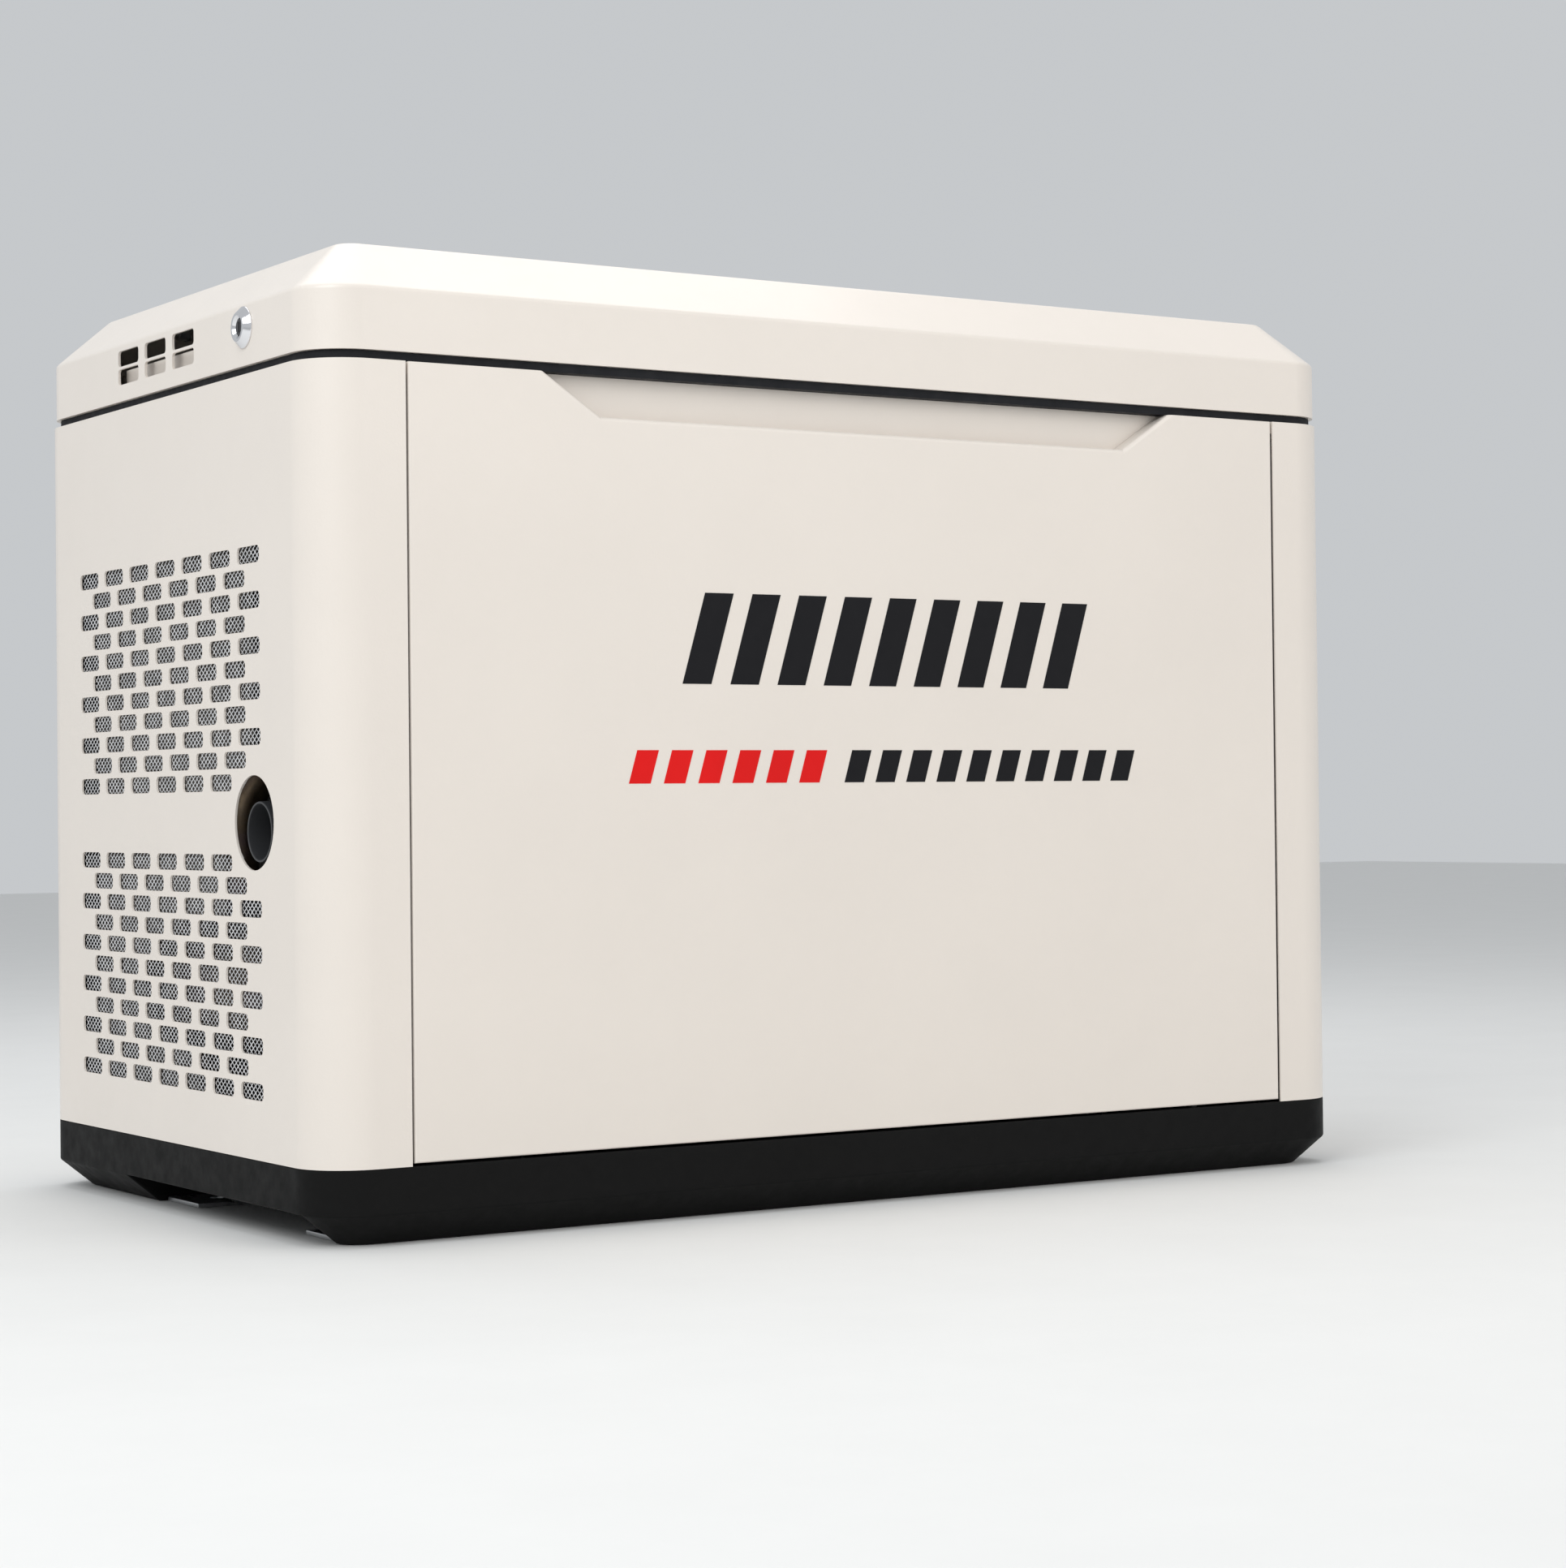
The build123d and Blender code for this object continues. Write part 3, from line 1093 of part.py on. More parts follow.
def make_gas_regulator():
    y_span = (REGULATOR_Y - REGULATOR_HALF, REGULATOR_Y + REGULATOR_HALF)
    hose_end = INLET_X - REGULATOR_RADIUS - 22
    with BuildPart() as gas_regulator:
        rod_y(y_span, INLET_X, REGULATOR_Z, REGULATOR_RADIUS)
        fillet(gas_regulator.edges(), radius=12)
        flange_y = (REGULATOR_Y - 4, REGULATOR_Y + 4)
        rod_y(flange_y, INLET_X, REGULATOR_Z, REGULATOR_RADIUS + 6)
        ports = ((hose_end, INLET_X), REGULATOR_Y, REGULATOR_Z, HOSE_RADIUS)
        rod_x(*ports)
        rod_z((REGULATOR_Z - REGULATOR_RADIUS, REGULATOR_Z), INLET_X, REGULATOR_Y, PIPE_RADIUS - 1)
        block((INLET_X - 20, INLET_X + 20), (REGULATOR_Y + REGULATOR_HALF, BACK - SHEET),
              (REGULATOR_Z - 20, REGULATOR_Z + 20))
        inlet_z = (REGULATOR_Z - REGULATOR_RADIUS - 20, REGULATOR_Z - REGULATOR_RADIUS)
        rod_z(inlet_z, INLET_X, REGULATOR_Y, PIPE_RADIUS + 5, mode=Mode.SUBTRACT)
    finish(gas_regulator, "gas_regulator")


def make_fuel_hose():
    start_x = INLET_X - REGULATOR_RADIUS - 22
    mixer_z = (MIXER_Z[0] + MIXER_Z[1]) / 2 + 14
    points = ((start_x, REGULATOR_Y, REGULATOR_Z),
              (CONTROL_PARTITION_X - 60, REGULATOR_Y, REGULATOR_Z),
              (MIXER_X + 110, REGULATOR_Y - 20, mixer_z - 20),
              (MIXER_X + 60, MID_Y, mixer_z),
              (MIXER_X + MIXER_RADIUS, MID_Y, mixer_z))
    with BuildPart() as fuel_hose:
        pipe_sweep(points, HOSE_RADIUS, 18)
    finish(fuel_hose, "fuel_hose")


# ---- control box: open-backed housing with its face towards the door ----
BUTTON_Z = CONTROL_Z[0] + 70.0
BUTTON_X = (CONTROL_X[0] + 58.0, CONTROL_X[0] + 93.0, CONTROL_X[0] + 128.0)
KNOB_X = CONTROL_X[0] + 103.0
KNOB_Z = CONTROL_Z[0] + 28.0
STOP_X = CONTROL_X[1] - 45.0
STOP_Z = CONTROL_Z[0] + 150.0
BREAKER_X = (CONTROL_X[1] - 70.0, CONTROL_X[1] - 20.0)
BREAKER_Z = (CONTROL_Z[0] + 14.0, CONTROL_Z[0] + 94.0)
DISPLAY_X = (CONTROL_X[0] + 43.0, CONTROL_X[0] + 148.0)
DISPLAY_Z = (CONTROL_Z[0] + 105.0, CONTROL_Z[0] + 185.0)
STEM = 4.0


def make_control_box():
    back = CONTROL_FACE + CONTROL_DEPTH
    with BuildPart() as control_box:
        round_block(CONTROL_X, (CONTROL_FACE, back), CONTROL_Z, 6)
        inner_x = (CONTROL_X[0] + CONTROL_WALL, CONTROL_X[1] - CONTROL_WALL)
        inner_z = (CONTROL_Z[0] + CONTROL_WALL, CONTROL_Z[1] - CONTROL_WALL)
        inner_y = (CONTROL_FACE + CONTROL_WALL, back - CONTROL_WALL)
        block(inner_x, inner_y, inner_z, mode=Mode.SUBTRACT)
        face_cut = (CONTROL_FACE - 1, CONTROL_FACE + CONTROL_WALL + 1)
        for x in BUTTON_X:
            rod_y(face_cut, x, BUTTON_Z, STEM + RUNNING, mode=Mode.SUBTRACT)
        rod_y(face_cut, KNOB_X, KNOB_Z, STEM + RUNNING, mode=Mode.SUBTRACT)
        rod_y(face_cut, STOP_X, STOP_Z, STEM + RUNNING, mode=Mode.SUBTRACT)
    finish(control_box, "control_box")


def make_control_display():
    with BuildPart() as control_display:
        y_span = (CONTROL_FACE - 5, CONTROL_FACE)
        block(DISPLAY_X, y_span, DISPLAY_Z)
        glass_x = (DISPLAY_X[0] + 10, DISPLAY_X[1] - 10)
        glass_z = (DISPLAY_Z[0] + 14, DISPLAY_Z[1] - 10)
        block(glass_x, (CONTROL_FACE - 6, CONTROL_FACE - 3.5), glass_z, mode=Mode.SUBTRACT)
    finish(control_display, "control_display")


def make_push_button(x, label):
    """A sprung button: cap outside the panel, stem through it, collar inside."""
    with BuildPart() as push_button:
        cap_y = (CONTROL_FACE - BUTTON_PROUD - 2, CONTROL_FACE - 2)
        rod_y(cap_y, x, BUTTON_Z, BUTTON_RADIUS)
        fillet(push_button.edges().group_by(Axis.Y)[0], radius=1)
        rod_y((CONTROL_FACE - 2, CONTROL_FACE + 6), x, BUTTON_Z, STEM)
        rod_y((CONTROL_FACE + CONTROL_WALL + CLEAR, CONTROL_FACE + 6), x, BUTTON_Z, STEM + 3)
    finish(push_button, label)


def make_emergency_stop():
    with BuildPart() as emergency_stop:
        rod_y((CONTROL_FACE - 22, CONTROL_FACE - 10), STOP_X, STOP_Z, 19)
        fillet(emergency_stop.edges().group_by(Axis.Y)[0], radius=5)
        rod_y((CONTROL_FACE - 10, CONTROL_FACE - 5), STOP_X, STOP_Z, 11)
        rod_y((CONTROL_FACE - 5, CONTROL_FACE + 8), STOP_X, STOP_Z, STEM)
        rod_y((CONTROL_FACE + CONTROL_WALL + CLEAR, CONTROL_FACE + 8), STOP_X, STOP_Z, STEM + 3)
    finish(emergency_stop, "emergency_stop")


def make_fuel_selector_knob():
    with BuildPart() as fuel_selector_knob:
        rod_y((CONTROL_FACE - 5, CONTROL_FACE - 1), KNOB_X, KNOB_Z, 16)
        grip_x = (KNOB_X - 3.5, KNOB_X + 3.5)
        block(grip_x, (CONTROL_FACE - 17, CONTROL_FACE - 5), (KNOB_Z - 14, KNOB_Z + 14))
        rod_y((CONTROL_FACE - 1, CONTROL_FACE + 8), KNOB_X, KNOB_Z, STEM)
        rod_y((CONTROL_FACE + CONTROL_WALL + CLEAR, CONTROL_FACE + 8), KNOB_X, KNOB_Z, STEM + 3)
    finish(fuel_selector_knob, "fuel_selector_knob")


# ---- main breaker on the control face, with its toggle lever ----
LEVER_Y = CONTROL_FACE - 6.0
LEVER_Z = (BREAKER_Z[0] + BREAKER_Z[1]) / 2
LEVER_X = ((BREAKER_X[0] + BREAKER_X[1]) / 2 - 9, (BREAKER_X[0] + BREAKER_X[1]) / 2 + 9)


def make_main_breaker():
    body_y = (CONTROL_FACE - 14, CONTROL_FACE)
    with BuildPart() as main_breaker:
        block(BREAKER_X, body_y, BREAKER_Z)
        slot_x = (LEVER_X[0] - CLEAR, LEVER_X[1] + CLEAR)
        slot_z = (LEVER_Z - 22, LEVER_Z + 22)
        block(slot_x, (CONTROL_FACE - 15, CONTROL_FACE - 1), slot_z, mode=Mode.SUBTRACT)
        pin_x = (BREAKER_X[0] + 2, BREAKER_X[1] - 2)
        rod_x(pin_x, LEVER_Y, LEVER_Z, 2)
    finish(main_breaker, "main_breaker")


def make_breaker_lever():
    with BuildPart() as breaker_lever:
        rod_x(LEVER_X, LEVER_Y, LEVER_Z, 4.5)
        grip_x = (LEVER_X[0] + 2, LEVER_X[1] - 2)
        block(grip_x, (CONTROL_FACE - 28, LEVER_Y - 2), (LEVER_Z - 3, LEVER_Z + 3))
        bore_x = (LEVER_X[0] - 1, LEVER_X[1] + 1)
        rod_x(bore_x, LEVER_Y, LEVER_Z, 2 + RUNNING, mode=Mode.SUBTRACT)
    finish(breaker_lever, "breaker_lever")


# ---- starting battery and its hold-down ----
def make_battery():
    length, width, height = BATTERY_SIZE
    x_span = (BATTERY_X - length / 2, BATTERY_X + length / 2)
    y_span = (BATTERY_Y - width / 2, BATTERY_Y + width / 2)
    top = FLOOR_Z + height
    with BuildPart() as battery:
        round_block(x_span, y_span, (FLOOR_Z, top), 5)
        lip_x = (x_span[0] - 3, x_span[1] + 3)
        lip_y = (y_span[0] - 3, y_span[1] + 3)
        round_block(lip_x, lip_y, (top - 34, top - 26), 7)
        for x in (x_span[0] + 24, x_span[1] - 24):
            rod_z((top, top + 16), x, y_span[0] + 24, 8)
    finish(battery, "battery")


def make_battery_clamp():
    length, width, height = BATTERY_SIZE
    top = FLOOR_Z + height
    y_reach = width / 2 + 10
    with BuildPart() as battery_clamp:
        y_span = (BATTERY_Y - y_reach - 8, BATTERY_Y + y_reach + 8)
        block((BATTERY_X - 13, BATTERY_X + 13), y_span, (top, top + 4))
        for row in (-1, 1):
            rod_z((FLOOR_Z, top + 14), BATTERY_X, BATTERY_Y + row * y_reach, 4)
    finish(battery_clamp, "battery_clamp")


make_base_tray()
make_anchor_brackets()
make_end_panel(-1, "left_end_panel")
make_end_panel(1, "right_end_panel")
make_back_panel()
make_front_door()
make_top_frame()
make_corner_posts()
make_rim_gasket()
make_mesh(-1, "left_mesh")
make_mesh(1, "right_mesh")
make_lid()
make_lid_baffles()
make_body_hinge_leaves()
make_lid_hinge_leaves()
make_hinge_pins()
make_lock_housings()
make_lock_cam(-1, "left_lock_cam")
make_lock_cam(1, "right_lock_cam")
make_strike_plates()
make_prop_rod()
make_prop_brackets()
make_prop_catch()
make_engine_partition()
make_control_partition()
make_engine_cradle()
make_vibration_mounts()
make_crankcase()
make_cylinders()
make_cylinder_heads()
make_valve_covers()
make_spark_plugs()
make_crankshaft()
make_flywheel_fan()
make_fan_shroud()
make_alternator_rotor()
make_alternator_stator()
make_alternator_housing()
make_rear_bearing()
make_intake_mixer()
make_air_cleaner()
make_oil_filter()
make_starter_motor()
make_exhaust_headers()
make_muffler()
make_tail_pipe()
make_gas_inlet()
make_gas_regulator()
make_fuel_hose()
make_control_box()
make_control_display()
make_push_button(BUTTON_X[0], "auto_button")
make_push_button(BUTTON_X[1], "off_button")
make_push_button(BUTTON_X[2], "start_button")
make_emergency_stop()
make_fuel_selector_knob()
make_main_breaker()
make_breaker_lever()
make_battery()
make_battery_clamp()
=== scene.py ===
"""Looks of a home standby generator: painted housing, grilles, locks, engine and controls."""

import json
import math

import bpy
from bpy.props import FloatProperty, FloatVectorProperty, IntProperty, PointerProperty
from mathutils import Matrix, Vector

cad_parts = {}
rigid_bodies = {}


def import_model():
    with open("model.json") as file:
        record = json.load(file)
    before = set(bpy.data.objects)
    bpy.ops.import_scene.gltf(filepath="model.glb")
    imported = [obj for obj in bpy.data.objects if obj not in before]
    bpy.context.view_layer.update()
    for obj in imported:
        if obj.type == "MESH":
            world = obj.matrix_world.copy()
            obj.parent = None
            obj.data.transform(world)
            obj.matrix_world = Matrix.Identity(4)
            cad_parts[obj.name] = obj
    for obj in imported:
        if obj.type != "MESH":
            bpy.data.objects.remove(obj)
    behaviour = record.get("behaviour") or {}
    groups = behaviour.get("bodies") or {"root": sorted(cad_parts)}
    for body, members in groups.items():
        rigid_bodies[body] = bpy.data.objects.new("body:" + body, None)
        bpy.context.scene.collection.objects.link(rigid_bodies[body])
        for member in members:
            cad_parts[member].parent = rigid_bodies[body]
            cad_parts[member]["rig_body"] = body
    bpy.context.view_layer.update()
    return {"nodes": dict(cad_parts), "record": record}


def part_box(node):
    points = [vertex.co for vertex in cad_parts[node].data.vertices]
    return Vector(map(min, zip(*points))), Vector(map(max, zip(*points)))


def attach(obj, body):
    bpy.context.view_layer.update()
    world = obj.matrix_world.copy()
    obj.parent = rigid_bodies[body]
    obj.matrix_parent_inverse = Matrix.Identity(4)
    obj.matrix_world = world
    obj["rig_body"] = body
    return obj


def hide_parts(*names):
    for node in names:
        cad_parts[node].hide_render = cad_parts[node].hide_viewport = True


bl_info = {
    "name": "Standby Generator",
    "version": (1, 0, 0),
    "blender": (4, 5, 0),
    "location": "3D View > Sidebar > Generator",
    "description": "Builds the looks of a home standby generator on its frame",
    "category": "Object",
}

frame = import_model()
SLOTS = {part["node"]: part["material_slot"] for part in frame["record"]["subparts"]}

# ---- finishes ----
MATERIALS = {}
PATCH_SCALE = 7.0
GLOSS_SCALE = PATCH_SCALE * 9


def add_node(tree, kind, **inputs):
    """A shader node with its input sockets set by name."""
    node = tree.nodes.new(kind)
    for name, value in inputs.items():
        node.inputs[name.replace("_", " ")].default_value = value
    return node


def object_space(tree):
    """The object's own coordinates, which stay with it when it moves."""
    return tree.nodes.new("ShaderNodeTexCoord").outputs["Object"]


def noise(tree, scale, detail=4.0, roughness=0.5):
    """A noise factor in the object's own coordinates."""
    node = add_node(tree, "ShaderNodeTexNoise", Scale=scale, Detail=detail, Roughness=roughness)
    tree.links.new(object_space(tree), node.inputs["Vector"])
    return node.outputs["Fac"]


def spread(tree, source, low, high):
    """Maps the middle of a noise factor to a range of values."""
    node = add_node(tree, "ShaderNodeMapRange", From_Min=0.3, From_Max=0.7, To_Min=low, To_Max=high)
    tree.links.new(source, node.inputs["Value"])
    return node.outputs["Result"]


def ramp(tree, source, stops):
    """Maps a factor to a colour through (place, colour) stops."""
    node = tree.nodes.new("ShaderNodeValToRGB")
    elements = node.color_ramp.elements
    while len(elements) < len(stops):
        elements.new(0.5)
    for element, (place, color) in zip(elements, stops):
        element.position = place
        element.color = (*color, 1.0)
    tree.links.new(source, node.inputs["Fac"])
    return node.outputs["Color"]


def relief(tree, shader, source, strength, depth):
    """Bump on the shader, added to any bump that it already has."""
    node = add_node(tree, "ShaderNodeBump", Strength=strength, Distance=depth)
    tree.links.new(source, node.inputs["Height"])
    links = shader.inputs["Normal"].links
    if links:
        tree.links.new(links[0].from_socket, node.inputs["Normal"])
    tree.links.new(node.outputs["Normal"], shader.inputs["Normal"])


def finish_base(name, metallic=0.0, coat=0.0, specular=0.5):
    """An empty Principled material, kept by name."""
    material = bpy.data.materials.new(name)
    material.use_nodes = True
    tree = material.node_tree
    shader = tree.nodes["Principled BSDF"]
    shader.inputs["Metallic"].default_value = metallic
    shader.inputs["Coat Weight"].default_value = coat
    shader.inputs["Specular IOR Level"].default_value = specular
    MATERIALS[name] = material
    return tree, shader


def shade(color, factor):
    """A lighter or darker form of a colour."""
    return tuple(min(1.0, part * factor) for part in color)


def mixed_finish(name, color, gloss, grain, metallic=0.0, coat=0.0, tint=0.06, specular=0.5):
    """Finish with slow tint patches, uneven gloss and grain of (scale, strength, depth)."""
    tree, shader = finish_base(name, metallic, coat, specular)
    patches = noise(tree, PATCH_SCALE, 6.0, 0.6)
    stops = ((0.3, shade(color, 1 - tint)), (0.7, shade(color, 1 + tint)))
    tree.links.new(ramp(tree, patches, stops), shader.inputs["Base Color"])
    rough = spread(tree, noise(tree, GLOSS_SCALE, 5.0, 0.6), *gloss)
    tree.links.new(rough, shader.inputs["Roughness"])
    scale, strength, depth = grain
    relief(tree, shader, noise(tree, scale, 3.0, 0.55), strength, depth)
    return tree, shader


def make_paint(name, color):
    """Powder coat: fine orange peel under a thin clear gloss, faint dust in the tint."""
    tree, shader = mixed_finish(name, color, (0.30, 0.42), (420.0, 0.22, 0.0004), tint=0.012)
    relief(tree, shader, noise(tree, 2600.0, 2.0), 0.06, 0.0001)
    shader.inputs["Coat Weight"].default_value = 0.25
    shader.inputs["Coat Roughness"].default_value = 0.18


def make_brushed(name, color):
    """Metal with fine drawn lines along one direction."""
    tree, shader = mixed_finish(name, color, (0.25, 0.4), (900.0, 0.05, 0.0001), metallic=1.0)
    mapping = add_node(tree, "ShaderNodeMapping", Scale=(1.0, 1.0, 30.0))
    tree.links.new(object_space(tree), mapping.inputs["Vector"])
    lines = add_node(tree, "ShaderNodeTexNoise", Scale=260.0, Detail=3.0)
    tree.links.new(mapping.outputs["Vector"], lines.inputs["Vector"])
    relief(tree, shader, lines.outputs["Fac"], 0.12, 0.0001)


def make_galvanised(name, color):
    """Zinc coat with crystal spangle in its gloss and tint."""
    tree, shader = finish_base(name, metallic=1.0)
    cells = add_node(tree, "ShaderNodeTexVoronoi", Scale=120.0)
    tree.links.new(object_space(tree), cells.inputs["Vector"])
    gray = tree.nodes.new("ShaderNodeRGBToBW")
    tree.links.new(cells.outputs["Color"], gray.inputs["Color"])
    stops = ((0.2, shade(color, 0.86)), (0.8, shade(color, 1.12)))
    tree.links.new(ramp(tree, gray.outputs["Val"], stops), shader.inputs["Base Color"])
    tree.links.new(spread(tree, gray.outputs["Val"], 0.32, 0.5), shader.inputs["Roughness"])
    relief(tree, shader, noise(tree, 700.0), 0.1, 0.0002)


def make_heat_tint(name, color):
    """Steel browned and blued by heat, with scale in the relief."""
    tree, shader = finish_base(name, metallic=1.0)
    bands = ((0.25, shade(color, 0.7)), (0.42, (0.20, 0.15, 0.10)), (0.55, (0.15, 0.11, 0.11)),
             (0.68, (0.10, 0.12, 0.15)), (0.8, shade(color, 1.1)))
    tree.links.new(ramp(tree, noise(tree, 9.0, 5.0, 0.6), bands), shader.inputs["Base Color"])
    rough = spread(tree, noise(tree, 160.0, 6.0, 0.6), 0.34, 0.6)
    tree.links.new(rough, shader.inputs["Roughness"])
    relief(tree, shader, noise(tree, 520.0, 5.0), 0.3, 0.0004)


def make_windings(name, color):
    """Varnished copper wire: close rings around the shaft."""
    tree, shader = mixed_finish(name, color, (0.22, 0.38), (600.0, 0.05, 0.0002), 0.9, 0.5)
    wave = add_node(tree, "ShaderNodeTexWave", Scale=110.0, Distortion=0.6)
    wave.bands_direction = "X"
    tree.links.new(object_space(tree), wave.inputs["Vector"])
    relief(tree, shader, wave.outputs["Fac"], 0.8, 0.0012)


def build_finishes(paint):
    """Makes every finish; the names are the slots of the parts."""
    make_paint("cream_paint", paint)
    mixed_finish("black_plastic", (0.006, 0.006, 0.006), (0.5, 0.65), (1500.0, 0.3, 0.0003),
                 specular=0.1)
    mixed_finish("black_rubber", (0.010, 0.011, 0.014), (0.6, 0.8), (900.0, 0.3, 0.0003),
                 specular=0.25)
    mixed_finish("chrome", (0.80, 0.80, 0.82), (0.07, 0.14), (800.0, 0.03, 0.0001), 1.0)
    make_brushed("zinc_steel", (0.60, 0.61, 0.62))
    mixed_finish("dark_steel", (0.03, 0.031, 0.034), (0.35, 0.5), (500.0, 0.2, 0.0003))
    mixed_finish("cast_aluminium", (0.55, 0.56, 0.57), (0.4, 0.58), (1100.0, 0.5, 0.0006), 1.0)
    make_galvanised("mesh_steel", (0.80, 0.80, 0.81))
    make_heat_tint("exhaust_steel", (0.26, 0.25, 0.24))
    make_windings("winding_copper", (0.62, 0.27, 0.11))
    make_brushed("fitting_brass", (0.72, 0.52, 0.22))
    mixed_finish("grey_plastic", (0.16, 0.17, 0.18), (0.4, 0.55), (1300.0, 0.3, 0.0003))
    mixed_finish("display_glass", (0.02, 0.035, 0.04), (0.06, 0.12), (40.0, 0.02, 0.0001),
                 0.0, 1.0)
    mixed_finish("red_plastic", (0.55, 0.02, 0.02), (0.22, 0.32), (700.0, 0.05, 0.0002),
                 0.0, 0.3)
    mixed_finish("green_plastic", (0.03, 0.34, 0.09), (0.22, 0.32), (700.0, 0.05, 0.0002),
                 0.0, 0.3)
    mixed_finish("rubber_hose", (0.02, 0.02, 0.021), (0.5, 0.65), (600.0, 0.3, 0.0004))
    mixed_finish("white_ceramic", (0.82, 0.81, 0.78), (0.12, 0.2), (400.0, 0.05, 0.0002),
                 0.0, 0.6)
    mixed_finish("filter_orange", (0.62, 0.16, 0.03), (0.28, 0.38), (420.0, 0.2, 0.0003),
                 0.0, 0.3)
    mixed_finish("screen", (0.16, 0.24, 0.20), (0.12, 0.2), (300.0, 0.03, 0.0001))
    mixed_finish("mark_yellow", (0.75, 0.45, 0.02), (0.35, 0.45), (700.0, 0.08, 0.0001))
    mixed_finish("key_dark", (0.05, 0.05, 0.055), (0.25, 0.4), (900.0, 0.1, 0.0001), 0.6)
    mixed_finish("mark_black", (0.008, 0.008, 0.010), (0.5, 0.6), (900.0, 0.1, 0.0001),
                 specular=0.15)
    mixed_finish("mark_red", (0.75, 0.008, 0.008), (0.5, 0.6), (900.0, 0.1, 0.0001),
                 specular=0.15)


# ---- modelling helpers ----
WELD_DISTANCE = 0.00001
FLAT_ANGLE = math.radians(0.4)
BEVEL_ANGLE = math.radians(30)
SMOOTH_ANGLE = math.radians(40)


def pick(thing):
    """Leaves only this object selected and active."""
    bpy.ops.object.select_all(action="DESELECT")
    thing.select_set(True)
    bpy.context.view_layer.objects.active = thing


def edit(thing, select=True):
    """Opens the object for editing, with everything or nothing selected."""
    pick(thing)
    bpy.ops.object.mode_set(mode="EDIT")
    bpy.ops.mesh.select_all(action="SELECT" if select else "DESELECT")


def done():
    """Ends editing."""
    bpy.ops.object.mode_set(mode="OBJECT")


def edit_chosen(thing, chosen):
    """Opens the object for editing with only the vertices that pass the test selected."""
    edit(thing, False)
    done()
    for vertex in thing.data.vertices:
        vertex.select = chosen(vertex.co)
    bpy.ops.object.mode_set(mode="EDIT")


def settle(thing):
    """Applies place, turn and size, so the object stands at the origin."""
    pick(thing)
    bpy.ops.object.transform_apply(location=True, rotation=True, scale=True)


def apply_modifier(thing, kind, **values):
    """Adds one modifier with these settings and applies it."""
    pick(thing)
    modifier = thing.modifiers.new("step", kind)
    for name, value in values.items():
        setattr(modifier, name, value)
    bpy.ops.object.modifier_apply(modifier=modifier.name)


def soften(thing, width, segments=2):
    """Rounds the sharp edges, if a width is given, and smooths the shading between them."""
    if width > 0:
        apply_modifier(thing, "BEVEL", width=width, segments=segments, limit_method="ANGLE",
                       angle_limit=BEVEL_ANGLE, miter_outer="MITER_ARC")
    pick(thing)
    bpy.ops.object.shade_smooth_by_angle(angle=SMOOTH_ANGLE)
    apply_modifier(thing, "WEIGHTED_NORMAL", keep_sharp=True, weight=100)


def dress(thing, body, slot, finish=None):
    """Gives a finished piece the material of its finish, or else of its slot, and the body it rides
    on.
    """
    thing.data.materials.clear()
    thing.data.materials.append(MATERIALS[finish or slot])
    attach(thing, body)


def dress_as(thing, node, finish=None):
    """Gives a piece the body of a CAD node, and the material of that node's slot unless a finish is
    named.
    """
    dress(thing, frame["nodes"][node]["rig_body"], SLOTS[node], finish)


def softened(node, width, segments=2):
    """A welded copy of a CAD node with rounded edges, standing in for it."""
    thing = bpy.data.objects.new(node + "_look", frame["nodes"][node].data.copy())
    bpy.context.scene.collection.objects.link(thing)
    pick(thing)
    if thing.data.has_custom_normals:
        bpy.ops.mesh.customdata_custom_splitnormals_clear()
    edit(thing)
    bpy.ops.mesh.remove_doubles(threshold=WELD_DISTANCE)
    bpy.ops.mesh.dissolve_limited(angle_limit=FLAT_ANGLE)
    done()
    soften(thing, width, segments)
    dress_as(thing, node)
    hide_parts(node)


def soften_nodes(widths):
    """Softened copies of several CAD nodes, from a table of node and edge width."""
    for node, width in widths.items():
        softened(node, width)


def join(things, name):
    """Several objects made one."""
    bpy.ops.object.select_all(action="DESELECT")
    for thing in things:
        thing.select_set(True)
    bpy.context.view_layer.objects.active = things[0]
    if len(things) > 1:
        bpy.ops.object.join()
    things[0].name = name
    settle(things[0])
    return things[0]


def turned(profile, place, axis, steps=32, turn=0.0, capped=True):
    """A turned solid: rings of (radius, reach) drawn out one after another along the axis."""
    bpy.ops.mesh.primitive_circle_add(vertices=steps, radius=profile[0][0],
                                      fill_type="NGON" if capped else "NOTHING")
    thing = bpy.context.object
    edit(thing)
    for (old, start), (new, end) in zip(profile, profile[1:]):
        bpy.ops.mesh.extrude_region_move(TRANSFORM_OT_translate={"value": (0, 0, end - start)})
        bpy.ops.transform.resize(value=(new / old, new / old, 1))
    bpy.ops.mesh.select_all(action="SELECT")
    bpy.ops.mesh.normals_make_consistent(inside=False)
    bpy.ops.transform.rotate(value=turn, orient_axis="Z", center_override=(0, 0, 0))
    done()
    axis = Vector(axis).normalized()
    thing.rotation_euler = axis.to_track_quat("Z", "Y").to_euler()
    thing.location = Vector(place) + axis * profile[0][1]
    settle(thing)
    return thing


def brick(low, high):
    """A block between two corners."""
    low, high = Vector(low), Vector(high)
    bpy.ops.mesh.primitive_cube_add(size=1, location=(low + high) / 2)
    thing = bpy.context.object
    thing.scale = high - low
    settle(thing)
    return thing


def hex_screws(name, places, axis, size, body="enclosure"):
    """Flanged hex screws standing on a face, made one piece."""
    heads = []
    for place in places:
        heads.append(turned(((size * 1.1, 0), (size * 1.1, size * 0.16)), place, axis, 16))
        hexagon = ((size * 0.8, size * 0.1), (size * 0.8, size * 0.7), (size * 0.66, size * 0.8))
        heads.append(turned(hexagon, place, axis, 6, 0.3))
    thing = join(heads, name)
    soften(thing, 0)
    dress(thing, body, "zinc_steel")


